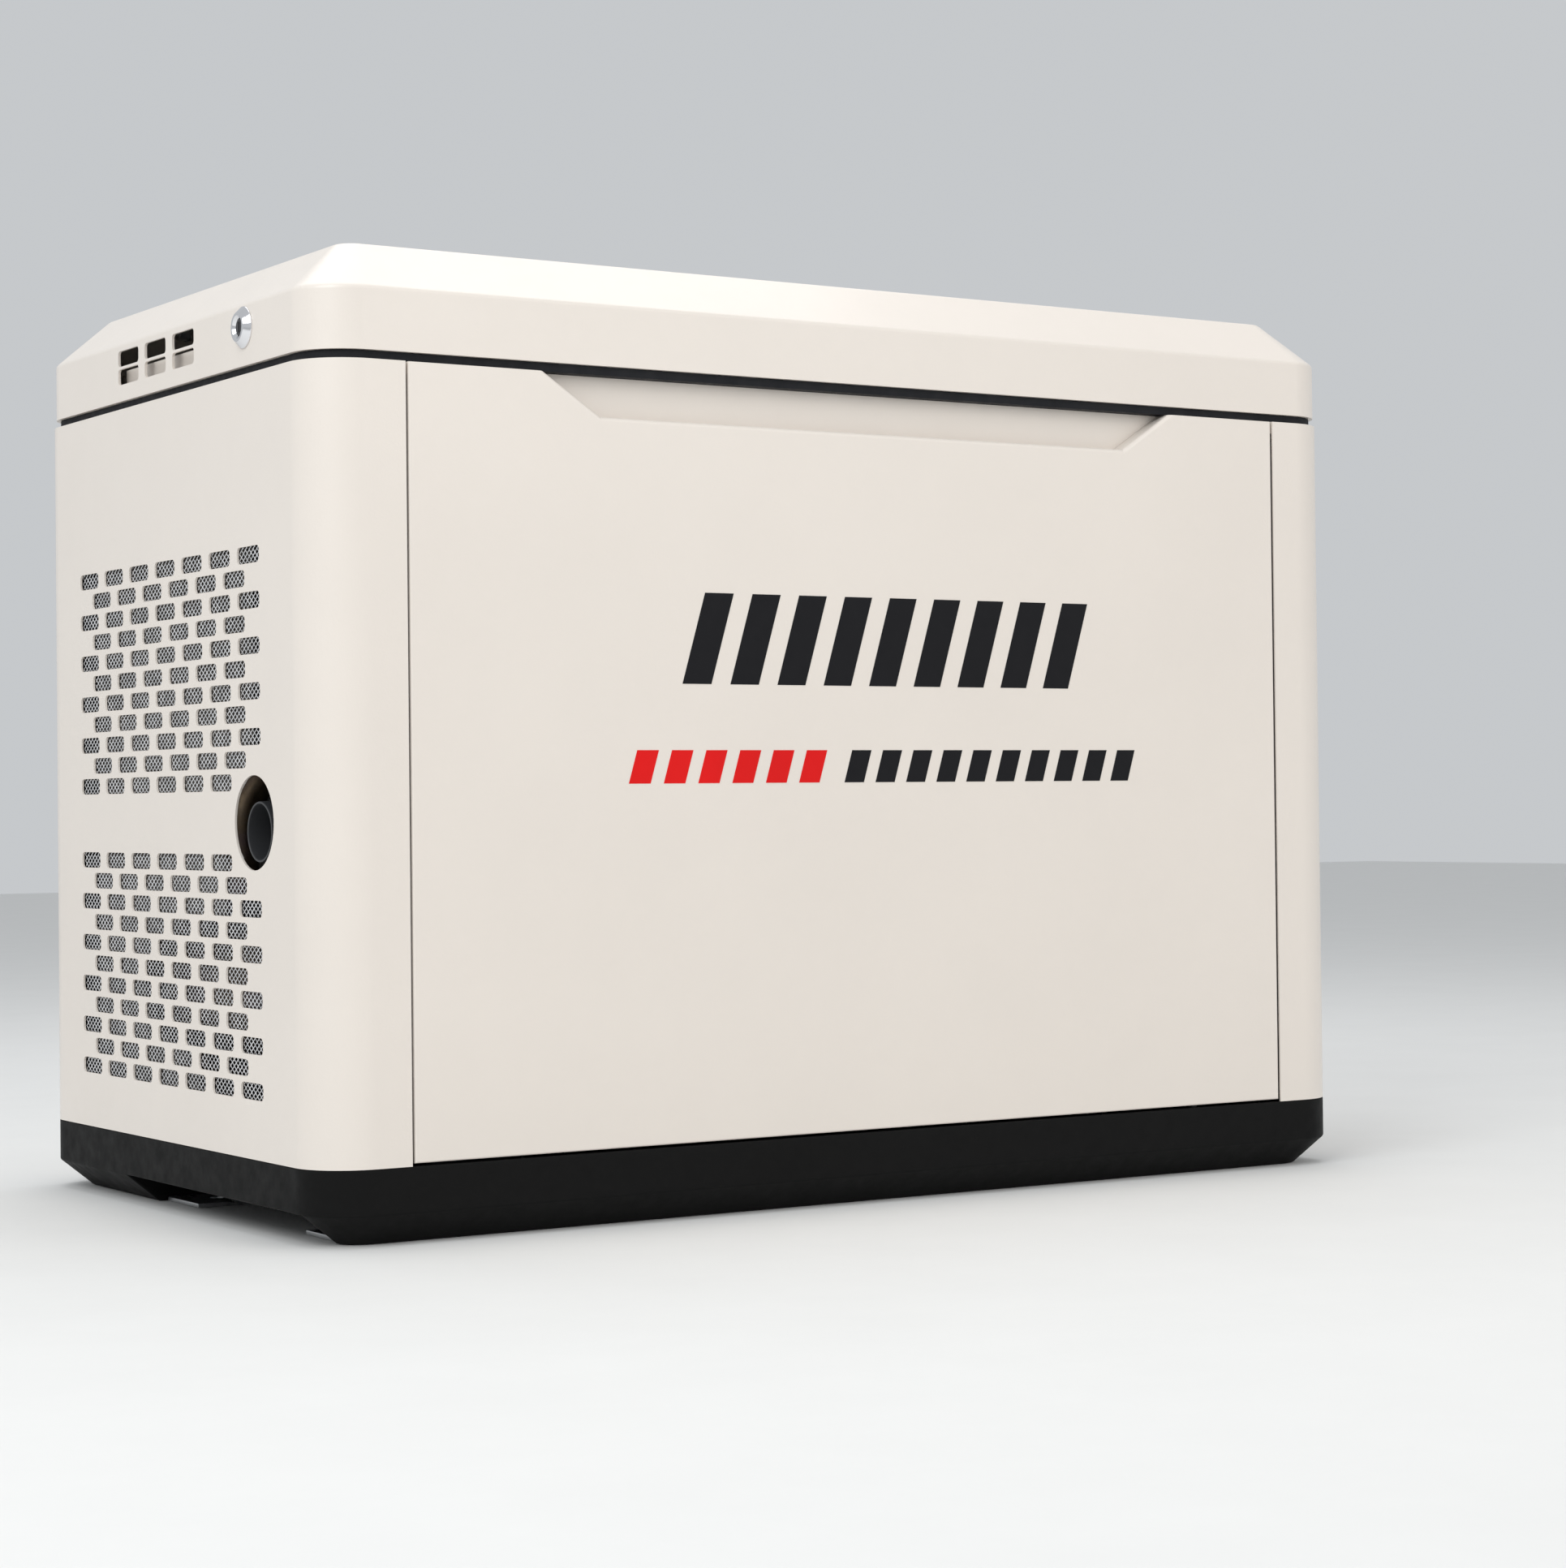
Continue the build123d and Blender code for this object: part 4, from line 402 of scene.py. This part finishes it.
def finish_turned(thing, name, slot, width=0, finish=None):
    """Names, smooths and dresses a turned piece that stands on the enclosure."""
    thing.name = name
    soften(thing, width)
    dress(thing, "enclosure", slot, finish)


# ---- sizes and colours that a user may change ----
class HousingLook(bpy.types.PropertyGroup):
    """Painted housing."""
    paint: FloatVectorProperty(name="Paint", description="Colour of the powder coat",
                               default=(0.82, 0.755, 0.69), size=3, subtype="COLOR", min=0, max=1)
    softness: FloatProperty(name="Edge softness", description="Radius on folded sheet edges",
                            default=0.0006, unit="LENGTH", min=0.0001, max=0.003)


class GrilleLook(bpy.types.PropertyGroup):
    """Expanded metal behind the end slots."""
    cell_length: FloatProperty(name="Cell length", description="Long way of one diamond",
                               default=0.0084, unit="LENGTH", min=0.004, max=0.02)
    cell_height: FloatProperty(name="Cell height", description="Short way of one diamond",
                               default=0.0060, unit="LENGTH", min=0.003, max=0.015)
    strand: FloatProperty(name="Strand", description="Width of the strands between diamonds",
                          default=0.0011, unit="LENGTH", min=0.0004, max=0.002)


class MarkLook(bpy.types.PropertyGroup):
    """Plain printed marks on the door."""
    count: IntProperty(name="Bars", description="Number of tall slanted bars",
                       default=9, min=1, max=20)
    rise: FloatProperty(name="Film height", description="How far the film stands off the paint",
                        default=0.00025, unit="LENGTH", min=0.0001, max=0.001)


class StageLook(bpy.types.PropertyGroup):
    """Floor, backdrop and light."""
    floor: FloatVectorProperty(name="Floor", description="Colour of floor and backdrop",
                               default=(0.80, 0.80, 0.79), size=3, subtype="COLOR", min=0, max=1)
    sky: FloatProperty(name="Sky", description="Strength of the light from all round",
                       default=0.60, min=0, max=3)
    key: FloatProperty(name="Key light", description="Power of the large soft light",
                       default=76.0, unit="POWER", min=0, max=2000)


# ---- sizes in metres that the pieces line up with on the frame ----
HINGE_LENGTH = 0.0714
TAIL_RADIUS = 0.027
COVER_TOP = 0.268           # from the crank's axis to the top of a valve cover
BATTERY_TOP = 0.223
LOCK_CENTRE = (-0.1835, 0.801)
EXHAUST_HOLE = (-0.2013, 0.3627)
LOWER_GROUP_TOP = 0.3405    # ends of the two slot groups in the end panels
UPPER_GROUP_BASE = 0.3850
SMALL_GAP = 0.0004

# ---- camera and lights ----
CAMERA_LENS = 76.14
CAMERA_SHIFT = (-0.0005, -0.0145)
CAMERA_PLACE = (-1.7583, -2.9039, 0.3733)
CAMERA_RIGHT = (0.84123, -0.54056, -0.010576)
CAMERA_UP = (0.001734, -0.016862, 0.99985)
CAMERA_AHEAD = (0.54066, 0.84113, 0.013247)
FLOOR_SIZE = 24
FLOOR_LEVEL = -0.0005
SKY_COLOR = (0.94, 0.97, 1.0, 1.0)
LIGHT_TARGET = (0, 0, 0.45)
# name, place, size, share of the key light's power, colour
LIGHTS = (("stage_key", (-3.2, -1.8, 3.0), 2.6, 1.0, (0.985, 1.0, 1.0)),
          ("stage_fill", (1.6, -3.6, 2.2), 2.6, 0.42, (1.0, 0.95, 0.89)),
          ("stage_top", (0.2, 0.6, 3.4), 3.0, 0.52, (1.0, 1.0, 1.0)))


# ---- operators ----
class GENERATOR_OT_stage(bpy.types.Operator):
    """Sets up floor, backdrop, soft light and camera."""
    bl_idname = "generator.stage"
    bl_label = "Stage"

    def light(self, name, place, size, power, color):
        """A square soft light aimed at the generator."""
        lamp = bpy.data.lights.new(name, "AREA")
        lamp.size = size
        lamp.energy = power
        lamp.color = color
        thing = bpy.data.objects.new(name, lamp)
        bpy.context.scene.collection.objects.link(thing)
        thing.location = place
        aim = Vector(LIGHT_TARGET) - Vector(place)
        thing.rotation_euler = aim.to_track_quat("-Z", "Y").to_euler()

    def execute(self, context):
        look = context.scene.generator_stage
        mixed_finish("stage_floor", tuple(look.floor), (0.7, 0.85), (240.0, 0.08, 0.0004),
                     tint=0.01, specular=0.2)
        bpy.ops.mesh.primitive_plane_add(size=FLOOR_SIZE, location=(0, 0, FLOOR_LEVEL))
        floor = bpy.context.object
        floor.name = "stage_floor"
        floor.data.materials.append(MATERIALS["stage_floor"])
        world = bpy.data.worlds.new("soft_room")
        world.use_nodes = True
        background = world.node_tree.nodes["Background"]
        background.inputs["Color"].default_value = SKY_COLOR
        background.inputs["Strength"].default_value = look.sky
        context.scene.world = world
        for name, place, size, share, color in LIGHTS:
            self.light(name, place, size, look.key * share, color)
        camera = bpy.data.cameras.new("camera")
        camera.lens = CAMERA_LENS
        camera.sensor_width = 36.0
        camera.shift_x, camera.shift_y = CAMERA_SHIFT
        camera.clip_end = 60
        thing = bpy.data.objects.new("camera", camera)
        context.scene.collection.objects.link(thing)
        columns = (Vector(CAMERA_RIGHT), Vector(CAMERA_UP), -Vector(CAMERA_AHEAD))
        turn = Matrix(columns).transposed().to_4x4()
        thing.matrix_world = Matrix.Translation(CAMERA_PLACE) @ turn
        context.scene.camera = thing
        context.scene.view_settings.view_transform = "Standard"
        return {"FINISHED"}


class GENERATOR_OT_finishes(bpy.types.Operator):
    """Makes the finishes and puts one on every part of the frame."""
    bl_idname = "generator.finishes"
    bl_label = "Finishes"

    def execute(self, context):
        build_finishes(tuple(context.scene.generator_housing.paint))
        for name, thing in frame["nodes"].items():
            thing.data.materials.clear()
            thing.data.materials.append(MATERIALS[SLOTS[name]])
        return {"FINISHED"}


class GENERATOR_OT_housing(bpy.types.Operator):
    """Painted panels, lid and frame with softened folds."""
    bl_idname = "generator.housing"
    bl_label = "Housing"

    def execute(self, context):
        soft = context.scene.generator_housing.softness
        for node in ("left_end_panel", "right_end_panel", "back_panel", "lid", "lid_baffles",
                     "rim_gasket"):
            softened(node, soft)
        softened("base_tray", soft * 2.5, 3)
        for node in ("anchor_brackets", "corner_posts", "engine_partition", "control_partition"):
            softened(node, soft)
        return {"FINISHED"}


EXHAUST_CLEARANCE = 0.0423  # radius left open round the tail pipe
SHEET_INSET = 0.0004
STRAND_SLOPE = 0.0003
SHEET_THICKNESS = 0.00025
MERGE_DISTANCE = 0.00002


class GENERATOR_OT_grilles(bpy.types.Operator):
    """Expanded metal with sloping strands behind the end slots."""
    bl_idname = "generator.grilles"
    bl_label = "Grilles"

    def cells(self, look, corner, columns, rows, slope):
        """One set of diamonds in a grid, each an open frame whose inner rim lies deeper."""
        bpy.ops.mesh.primitive_circle_add(vertices=4, radius=0.5, fill_type="NGON")
        thing = bpy.context.object
        thing.scale = (look.cell_length, look.cell_height, 1)
        thing.rotation_euler = (math.pi / 2, 0, math.pi / 2)
        thing.location = corner
        settle(thing)
        edit(thing)
        bpy.ops.mesh.inset(thickness=look.strand / 2, depth=0)
        bpy.ops.transform.translate(value=(slope, 0, 0))
        bpy.ops.mesh.delete(type="FACE")
        done()
        steps = (((0, look.cell_length, 0), columns), ((0, 0, look.cell_height), rows))
        for offset, count in steps:
            apply_modifier(thing, "ARRAY", use_relative_offset=False, use_constant_offset=True,
                           constant_offset_displace=offset, count=count,
                           use_merge_vertices=True, merge_threshold=MERGE_DISTANCE)
        return thing

    def sheet(self, node, z_low, z_high, name, look):
        """Expanded metal behind one slot group, open round the tail pipe on the left end."""
        low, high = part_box(node)
        side = -1 if low.x < 0 else 1
        outer = high.x - SHEET_INSET if side > 0 else low.x + SHEET_INSET
        columns = int((high.y - low.y) / look.cell_length)
        rows = int((z_high - z_low) / look.cell_height)
        start = Vector((outer, low.y + look.cell_length / 2, z_low + look.cell_height / 2))
        half = Vector((0, look.cell_length / 2, look.cell_height / 2))
        slope = -side * STRAND_SLOPE
        sets = [self.cells(look, start, columns, rows, slope),
                self.cells(look, start + half, columns - 1, rows - 1, slope)]
        thing = join(sets, name)
        if side < 0:
            hole = Vector(EXHAUST_HOLE)
            edit_chosen(thing, lambda point: (point.yz - hole).length < EXHAUST_CLEARANCE)
            bpy.ops.mesh.delete(type="VERT")
            done()
        edit(thing)
        bpy.ops.mesh.remove_doubles(threshold=MERGE_DISTANCE)
        done()
        apply_modifier(thing, "SOLIDIFY", thickness=SHEET_THICKNESS, offset=0)
        dress_as(thing, node)
        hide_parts(node)

    def execute(self, context):
        look = context.scene.generator_grille
        for side in ("left", "right"):
            node = side + "_mesh"
            levels = sorted({round(v.co.z, 4) for v in frame["nodes"][node].data.vertices})
            self.sheet(node, levels[0], LOWER_GROUP_TOP, side + "_grille_lower", look)
            self.sheet(node, UPPER_GROUP_BASE, levels[-1], side + "_grille_upper", look)
        return {"FINISHED"}


# x span and z span of each row on the door
TALL_ROW = ((-0.215, 0.248), (0.484, 0.567))
RED_ROW = ((-0.272, -0.059), (0.394, 0.424))
DARK_ROW = ((-0.040, 0.305), (0.394, 0.424))
LEAN = 0.3                  # sideways shift of a bar's top, as a share of its height
TALL_FILL = 0.6
LOW_FILL = 0.62
RED_BARS = 6
DARK_BARS = 10


class GENERATOR_OT_marks(bpy.types.Operator):
    """Plain slanted bars on the door, where a printed name would stand."""
    bl_idname = "generator.marks"
    bl_label = "Door marks"

    def bar(self, x_span, z_span, rise):
        """One slanted bar of thin film."""
        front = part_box("front_door")[0].y
        thing = brick((x_span[0], front - rise, z_span[0]), (x_span[1], front, z_span[1]))
        edit_chosen(thing, lambda point: point.z > sum(z_span) / 2)
        bpy.ops.transform.translate(value=((z_span[1] - z_span[0]) * LEAN, 0, 0))
        done()
        return thing

    def row(self, name, spans, count, fill, rise, finish):
        """Evenly spaced bars from one end of the row to the other."""
        x_span, z_span = spans
        lean = (z_span[1] - z_span[0]) * LEAN
        pitch = (x_span[1] - x_span[0] - lean) / (count - 1 + fill)
        bars = []
        for index in range(count):
            start = x_span[0] + index * pitch
            bars.append(self.bar((start, start + pitch * fill), z_span, rise))
        dress(join(bars, name), "door", "cream_paint", finish)

    def execute(self, context):
        look = context.scene.generator_mark
        self.row("door_mark_tall", TALL_ROW, look.count, TALL_FILL, look.rise, "mark_black")
        self.row("door_mark_red", RED_ROW, RED_BARS, LOW_FILL, look.rise, "mark_red")
        self.row("door_mark_dark", DARK_ROW, DARK_BARS, LOW_FILL, look.rise, "mark_black")
        return {"FINISHED"}


KEY_FACE_RINGS = ((0.0066, 0), (0.0078, 0.0004), (0.0078, 0.0008), (0.0070, 0.0012))
KEY_SLIT_HALF = Vector((0.003, 0.0011, 0.0048))
FITTING_EDGE = 0.0003


class GENERATOR_OT_locks(bpy.types.Operator):
    """Chrome lock rings, dark key faces, cams, strikes and the prop rod with its fittings."""
    bl_idname = "generator.locks"
    bl_label = "Locks and prop rod"

    def execute(self, context):
        softened("lock_housings", 0.0004, 3)
        for side, node in ((-1, "left_lock_cam"), (1, "right_lock_cam")):
            softened(node, FITTING_EDGE)
            low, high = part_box(node)
            centre = Vector((high.x if side > 0 else low.x, *LOCK_CENTRE))
            disc = turned(KEY_FACE_RINGS, centre, (side, 0, 0), 48)
            slit = brick(centre - KEY_SLIT_HALF, centre + KEY_SLIT_HALF)
            apply_modifier(disc, "BOOLEAN", object=slit, operation="DIFFERENCE", solver="EXACT")
            bpy.data.objects.remove(slit)
            disc.name = node.replace("cam", "key_face")
            soften(disc, 0)
            dress_as(disc, node, "key_dark")
        for node in ("strike_plates", "prop_rod", "prop_brackets", "prop_catch"):
            softened(node, FITTING_EDGE)
        return {"FINISHED"}


LEAF_SCREW_PITCH = 0.022
LEAF_SCREW_SIZE = 0.0036
LEAF_SCREW_INSET = 0.012    # from the free edge of a leaf
LEAF_THICKNESS = 0.002
PANEL_SCREW_SIZE = 0.0042
PANEL_SCREW_LEVELS = (0.10, 0.30, 0.50, 0.70)


class GENERATOR_OT_hinges(bpy.types.Operator):
    """Hinge leaves with their screws, and the screws of the back panel."""
    bl_idname = "generator.hinges"
    bl_label = "Hinges"

    def execute(self, context):
        for node in ("body_hinge_leaves", "lid_hinge_leaves", "hinge_pins"):
            softened(node, FITTING_EDGE)
        low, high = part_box("body_hinge_leaves")
        across = [side * (high.x - HINGE_LENGTH / 2 + step) for side in (-1, 1)
                  for step in (-LEAF_SCREW_PITCH, 0, LEAF_SCREW_PITCH)]
        places = [(x, low.y + LEAF_THICKNESS, low.z + LEAF_SCREW_INSET) for x in across]
        hex_screws("body_hinge_screws", places, (0, 1, 0), LEAF_SCREW_SIZE)
        low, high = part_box("lid_hinge_leaves")
        places = [(x, low.y + LEAF_THICKNESS, high.z - LEAF_SCREW_INSET) for x in across]
        hex_screws("lid_hinge_screws", places, (0, 1, 0), LEAF_SCREW_SIZE, "lid")
        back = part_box("back_panel")[1]
        edge = back.x - 0.02
        places = [(side * edge, back.y, z) for side in (-1, 1) for z in PANEL_SCREW_LEVELS]
        hex_screws("back_panel_screws", places, (0, 1, 0), PANEL_SCREW_SIZE)
        return {"FINISHED"}


def crank_centre():
    """The middle of the crankshaft."""
    low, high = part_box("crankshaft")
    return (low + high) / 2


# side and middle of each valve cover
COVERS = {"front_cover_screws": (-1, -0.165), "back_cover_screws": (1, -0.135)}
COVER_SCREW_REACH = 0.03
COVER_SCREW_SIZE = 0.006
CASE_SCREW_PLACES = (-0.25, -0.20, -0.10, -0.05)
CASE_SCREW_LIFT = 0.012
CASE_SCREW_SIZE = 0.0048
CLIP_INSET = 0.04
CLIP_HALF_WIDTH = 0.008
CLIP_BASE = 0.045           # below the top of the air cleaner
CLIP_TOP = 0.014
CLEANER_KNOB_RINGS = ((0.020, 0), (0.020, 0.003), (0.013, 0.005), (0.013, 0.014), (0.010, 0.016))


class GENERATOR_OT_engine(bpy.types.Operator):
    """Engine castings with softened edges and their screws."""
    bl_idname = "generator.engine"
    bl_label = "Engine"

    def cover_screws(self):
        """Two screws on each valve cover, standing along its cylinder's slope."""
        centre = crank_centre()
        for name, (side, middle) in COVERS.items():
            out = Vector((0, side, 1)).normalized()
            places = [Vector((middle + step, centre.y, centre.z)) + out * COVER_TOP
                      for step in (-COVER_SCREW_REACH, COVER_SCREW_REACH)]
            hex_screws(name, places, out, COVER_SCREW_SIZE)

    def case_screws(self):
        """Screws along the foot of the crankcase."""
        low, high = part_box("crankcase")
        for name, face, side in (("case_front_screws", low.y, -1), ("case_back_screws", high.y, 1)):
            places = [(x, face, low.z + CASE_SCREW_LIFT) for x in CASE_SCREW_PLACES]
            hex_screws(name, places, (0, side, 0), CASE_SCREW_SIZE)

    def cleaner_clips(self):
        """Sprung clips and a turning knob on the air cleaner."""
        low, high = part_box("air_cleaner")
        clips = []
        for x in (low.x + CLIP_INSET, high.x - CLIP_INSET):
            for face, out in ((low.y, -1), (high.y, 1)):
                near, far = sorted((face - out * 0.001, face + out * 0.002))
                clips.append(brick((x - CLIP_HALF_WIDTH, near, high.z - CLIP_BASE),
                                   (x + CLIP_HALF_WIDTH, far, high.z - CLIP_TOP)))
        thing = join(clips, "air_cleaner_clips")
        soften(thing, 0.0006)
        dress(thing, "enclosure", "zinc_steel")
        top = ((low.x + high.x) / 2, (low.y + high.y) / 2, high.z)
        knob = turned(CLEANER_KNOB_RINGS, top, (0, 0, 1), 12)
        finish_turned(knob, "air_cleaner_knob", "black_plastic", 0.0008)

    def execute(self, context):
        soften_nodes({"vibration_mounts": 0.0015, "crankcase": 0.002, "cylinders": 0.0004,
                      "cylinder_heads": 0.002, "valve_covers": 0.004, "spark_plugs": 0.0005,
                      "crankshaft": 0.0006, "flywheel_fan": 0.0005, "fan_shroud": 0.0006,
                      "intake_mixer": 0.001, "air_cleaner": 0.004, "oil_filter": 0.002,
                      "starter_motor": 0.001})
        self.cover_screws()
        self.case_screws()
        self.cleaner_clips()
        return {"FINISHED"}


END_SCREWS = 6
END_SCREW_RING = 0.108
END_SCREW_SIZE = 0.006


class GENERATOR_OT_alternator(bpy.types.Operator):
    """Alternator with its windings, rotor and bearing."""
    bl_idname = "generator.alternator"
    bl_label = "Alternator"

    def execute(self, context):
        soften_nodes({"alternator_rotor": 0.001, "alternator_stator": 0.001,
                      "alternator_housing": 0.0015, "rear_bearing": 0.0006})
        centre = crank_centre()
        centre.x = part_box("alternator_housing")[1].x
        places = []
        for step in range(END_SCREWS):
            turn = math.radians((step + 0.5) * 360 / END_SCREWS)
            places.append(centre + Vector((0, math.cos(turn), math.sin(turn))) * END_SCREW_RING)
        hex_screws("alternator_screws", places, (1, 0, 0), END_SCREW_SIZE)
        return {"FINISHED"}


TAIL_BORE_RADIUS = TAIL_RADIUS - 0.0025
TIP_LENGTH = 0.0095
BAND_INSET = 0.06
BAND_HALF_WIDTH = 0.009


class GENERATOR_OT_exhaust(bpy.types.Operator):
    """Headers, muffler and tail pipe."""
    bl_idname = "generator.exhaust"
    bl_label = "Exhaust"

    def tip(self):
        """A rolled ring on the mouth of the tail pipe."""
        low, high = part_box("tail_pipe")
        profile = ((TAIL_BORE_RADIUS, 0), (TAIL_RADIUS, 0), (TAIL_RADIUS, TIP_LENGTH - 0.001),
                   (TAIL_RADIUS - 0.0005, TIP_LENGTH), (TAIL_RADIUS - 0.002, TIP_LENGTH),
                   (TAIL_BORE_RADIUS, TIP_LENGTH - 0.001), (TAIL_BORE_RADIUS, 0))
        place = (low.x, low.y + TAIL_RADIUS, high.z - TAIL_RADIUS)
        tip = turned(profile, place, (-1, 0, 0), 64, capped=False)
        finish_turned(tip, "tail_pipe_tip", "dark_steel")

    def bands(self):
        """A clamp band near each end of the muffler."""
        low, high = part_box("muffler")
        radius = (high.x - low.x) / 2
        inner, outer, half = radius - 0.001, radius + 0.0015, BAND_HALF_WIDTH
        profile = ((inner, -half), (outer, 0.001 - half), (outer, half - 0.001), (inner, half))
        for name, y in (("front_muffler_band", low.y + BAND_INSET),
                        ("back_muffler_band", high.y - BAND_INSET)):
            band = turned(profile, ((low.x + high.x) / 2, y, high.z - radius), (0, 1, 0), 96)
            finish_turned(band, name, "zinc_steel")

    def execute(self, context):
        soften_nodes({"exhaust_headers": 0, "muffler": 0.0015, "tail_pipe": 0})
        self.tip()
        self.bands()
        return {"FINISHED"}


class GENERATOR_OT_fuel(bpy.types.Operator):
    """Gas inlet, regulator and hose."""
    bl_idname = "generator.fuel"
    bl_label = "Fuel"

    def execute(self, context):
        soften_nodes({"gas_inlet": 0.0005, "gas_regulator": 0.0015, "fuel_hose": 0})
        return {"FINISHED"}


SCREEN_FRAME = 0.014
LAMPS = {"green_plastic": -0.03, "filter_orange": 0.0, "red_plastic": 0.03}
LAMP_RINGS = ((0.0034, 0), (0.0034, 0.0008), (0.0026, 0.0022), (0.0012, 0.0028))
LAMP_DROP = 0.012
FACE_SCREW_INSET = 0.008
FACE_SCREW_SIZE = 0.003
TICK_LOW = (-0.001, 0.019)  # x and z of a tick's corners, from the knob's axis
TICK_HIGH = (0.001, 0.024)
STOP_DISC_RINGS = ((0.0128, 0), (0.024, 0), (0.024, 0.0008), (0.0232, 0.0012), (0.0134, 0.0012),
                   (0.0128, 0.0008), (0.0128, 0))


class GENERATOR_OT_controls(bpy.types.Operator):
    """Control box, display, buttons, selector and breaker."""
    bl_idname = "generator.controls"
    bl_label = "Controls"

    def execute(self, context):
        soften_nodes({"control_box": 0.0015, "control_display": 0.0008, "auto_button": 0.0006,
                      "off_button": 0.0006, "start_button": 0.0006, "emergency_stop": 0.001,
                      "fuel_selector_knob": 0.0008, "main_breaker": 0.0008,
                      "breaker_lever": 0.001})
        self.screen()
        self.face_details()
        return {"FINISHED"}

    def screen(self):
        """Lit part of the display with its dark frame, and three lamps under it."""
        low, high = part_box("control_display")
        glass = brick((low.x + SCREEN_FRAME, low.y - SMALL_GAP, low.z + SCREEN_FRAME),
                      (high.x - SCREEN_FRAME, low.y + 0.001, high.z - SCREEN_FRAME))
        glass.name = "display_screen"
        soften(glass, 0.0002)
        dress(glass, "enclosure", "display_glass", "screen")
        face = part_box("control_box")[0].y
        for slot, x in LAMPS.items():
            place = ((low.x + high.x) / 2 + x, face, low.z - LAMP_DROP)
            finish_turned(turned(LAMP_RINGS, place, (0, -1, 0), 20), "lamp_" + slot, slot)

    def face_details(self):
        """Corner screws, dial ticks and the yellow disc behind the stop button."""
        low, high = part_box("control_box")
        places = [(x, low.y, z) for x in (low.x + FACE_SCREW_INSET, high.x - FACE_SCREW_INSET)
                  for z in (low.z + FACE_SCREW_INSET, high.z - FACE_SCREW_INSET)]
        hex_screws("control_box_screws", places, (0, -1, 0), FACE_SCREW_SIZE)
        knob_low, knob_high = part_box("fuel_selector_knob")
        centre = (knob_low + knob_high) / 2
        ticks = []
        for angle in (-45, 0, 45):
            tick = brick((TICK_LOW[0], low.y - SMALL_GAP, TICK_LOW[1]),
                         (TICK_HIGH[0], low.y, TICK_HIGH[1]))
            tick.rotation_euler = (0, math.radians(angle), 0)
            tick.location = (centre.x, 0, centre.z)
            settle(tick)
            ticks.append(tick)
        dress(join(ticks, "selector_ticks"), "enclosure", "white_ceramic")
        stop_low, stop_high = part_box("emergency_stop")
        middle = (stop_low + stop_high) / 2
        place = (middle.x, low.y, middle.z)
        disc = turned(STOP_DISC_RINGS, place, (0, -1, 0), 48, capped=False)
        finish_turned(disc, "stop_disc", "filter_orange", finish="mark_yellow")


CAP_RINGS = ((0.010, 0), (0.010, 0.0035), (0.0085, 0.005))
CAP_PITCH = 0.028


class GENERATOR_OT_battery(bpy.types.Operator):
    """Battery with its clamp."""
    bl_idname = "generator.battery"
    bl_label = "Battery"

    def execute(self, context):
        softened("battery", 0.002, 3)
        softened("battery_clamp", 0.0005)
        low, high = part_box("battery")
        caps = []
        for x in (low.x + CAP_PITCH, low.x + CAP_PITCH * 2,
                  high.x - CAP_PITCH * 2, high.x - CAP_PITCH):
            place = (x, (low.y + high.y) / 2, BATTERY_TOP)
            caps.append(turned(CAP_RINGS, place, (0, 0, 1), 16))
        thing = join(caps, "battery_caps")
        soften(thing, 0.0003)
        dress(thing, "enclosure", "grey_plastic")
        return {"FINISHED"}


STEPS = (GENERATOR_OT_stage, GENERATOR_OT_finishes, GENERATOR_OT_housing, GENERATOR_OT_grilles,
         GENERATOR_OT_marks, GENERATOR_OT_locks, GENERATOR_OT_hinges, GENERATOR_OT_engine,
         GENERATOR_OT_alternator, GENERATOR_OT_exhaust, GENERATOR_OT_fuel, GENERATOR_OT_controls,
         GENERATOR_OT_battery)
SETTINGS = {"generator_housing": HousingLook, "generator_grille": GrilleLook,
            "generator_mark": MarkLook, "generator_stage": StageLook}
SETTING_NAMES = {"generator_housing": ("paint", "softness"),
                 "generator_grille": ("cell_length", "cell_height", "strand"),
                 "generator_mark": ("count", "rise"),
                 "generator_stage": ("floor", "sky", "key")}


class GENERATOR_PT_panel(bpy.types.Panel):
    """Lists the settings and the steps in the sidebar."""
    bl_idname = "GENERATOR_PT_panel"
    bl_label = "Standby Generator"
    bl_space_type = "VIEW_3D"
    bl_region_type = "UI"
    bl_category = "Generator"

    def draw(self, context):
        for group, names in SETTING_NAMES.items():
            box = self.layout.box()
            for name in names:
                box.prop(getattr(context.scene, group), name)
        for step in STEPS:
            self.layout.operator(step.bl_idname)


CLASSES = (*SETTINGS.values(), *STEPS, GENERATOR_PT_panel)


def register():
    for kind in CLASSES:
        bpy.utils.register_class(kind)
    for name, group in SETTINGS.items():
        setattr(bpy.types.Scene, name, PointerProperty(type=group))


def unregister():
    for name in SETTINGS:
        delattr(bpy.types.Scene, name)
    for kind in reversed(CLASSES):
        bpy.utils.unregister_class(kind)


def main():
    """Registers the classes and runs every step."""
    register()
    for step in STEPS:
        group, name = step.bl_idname.split(".")
        getattr(getattr(bpy.ops, group), name)()


if __name__ == "__main__":
    main()
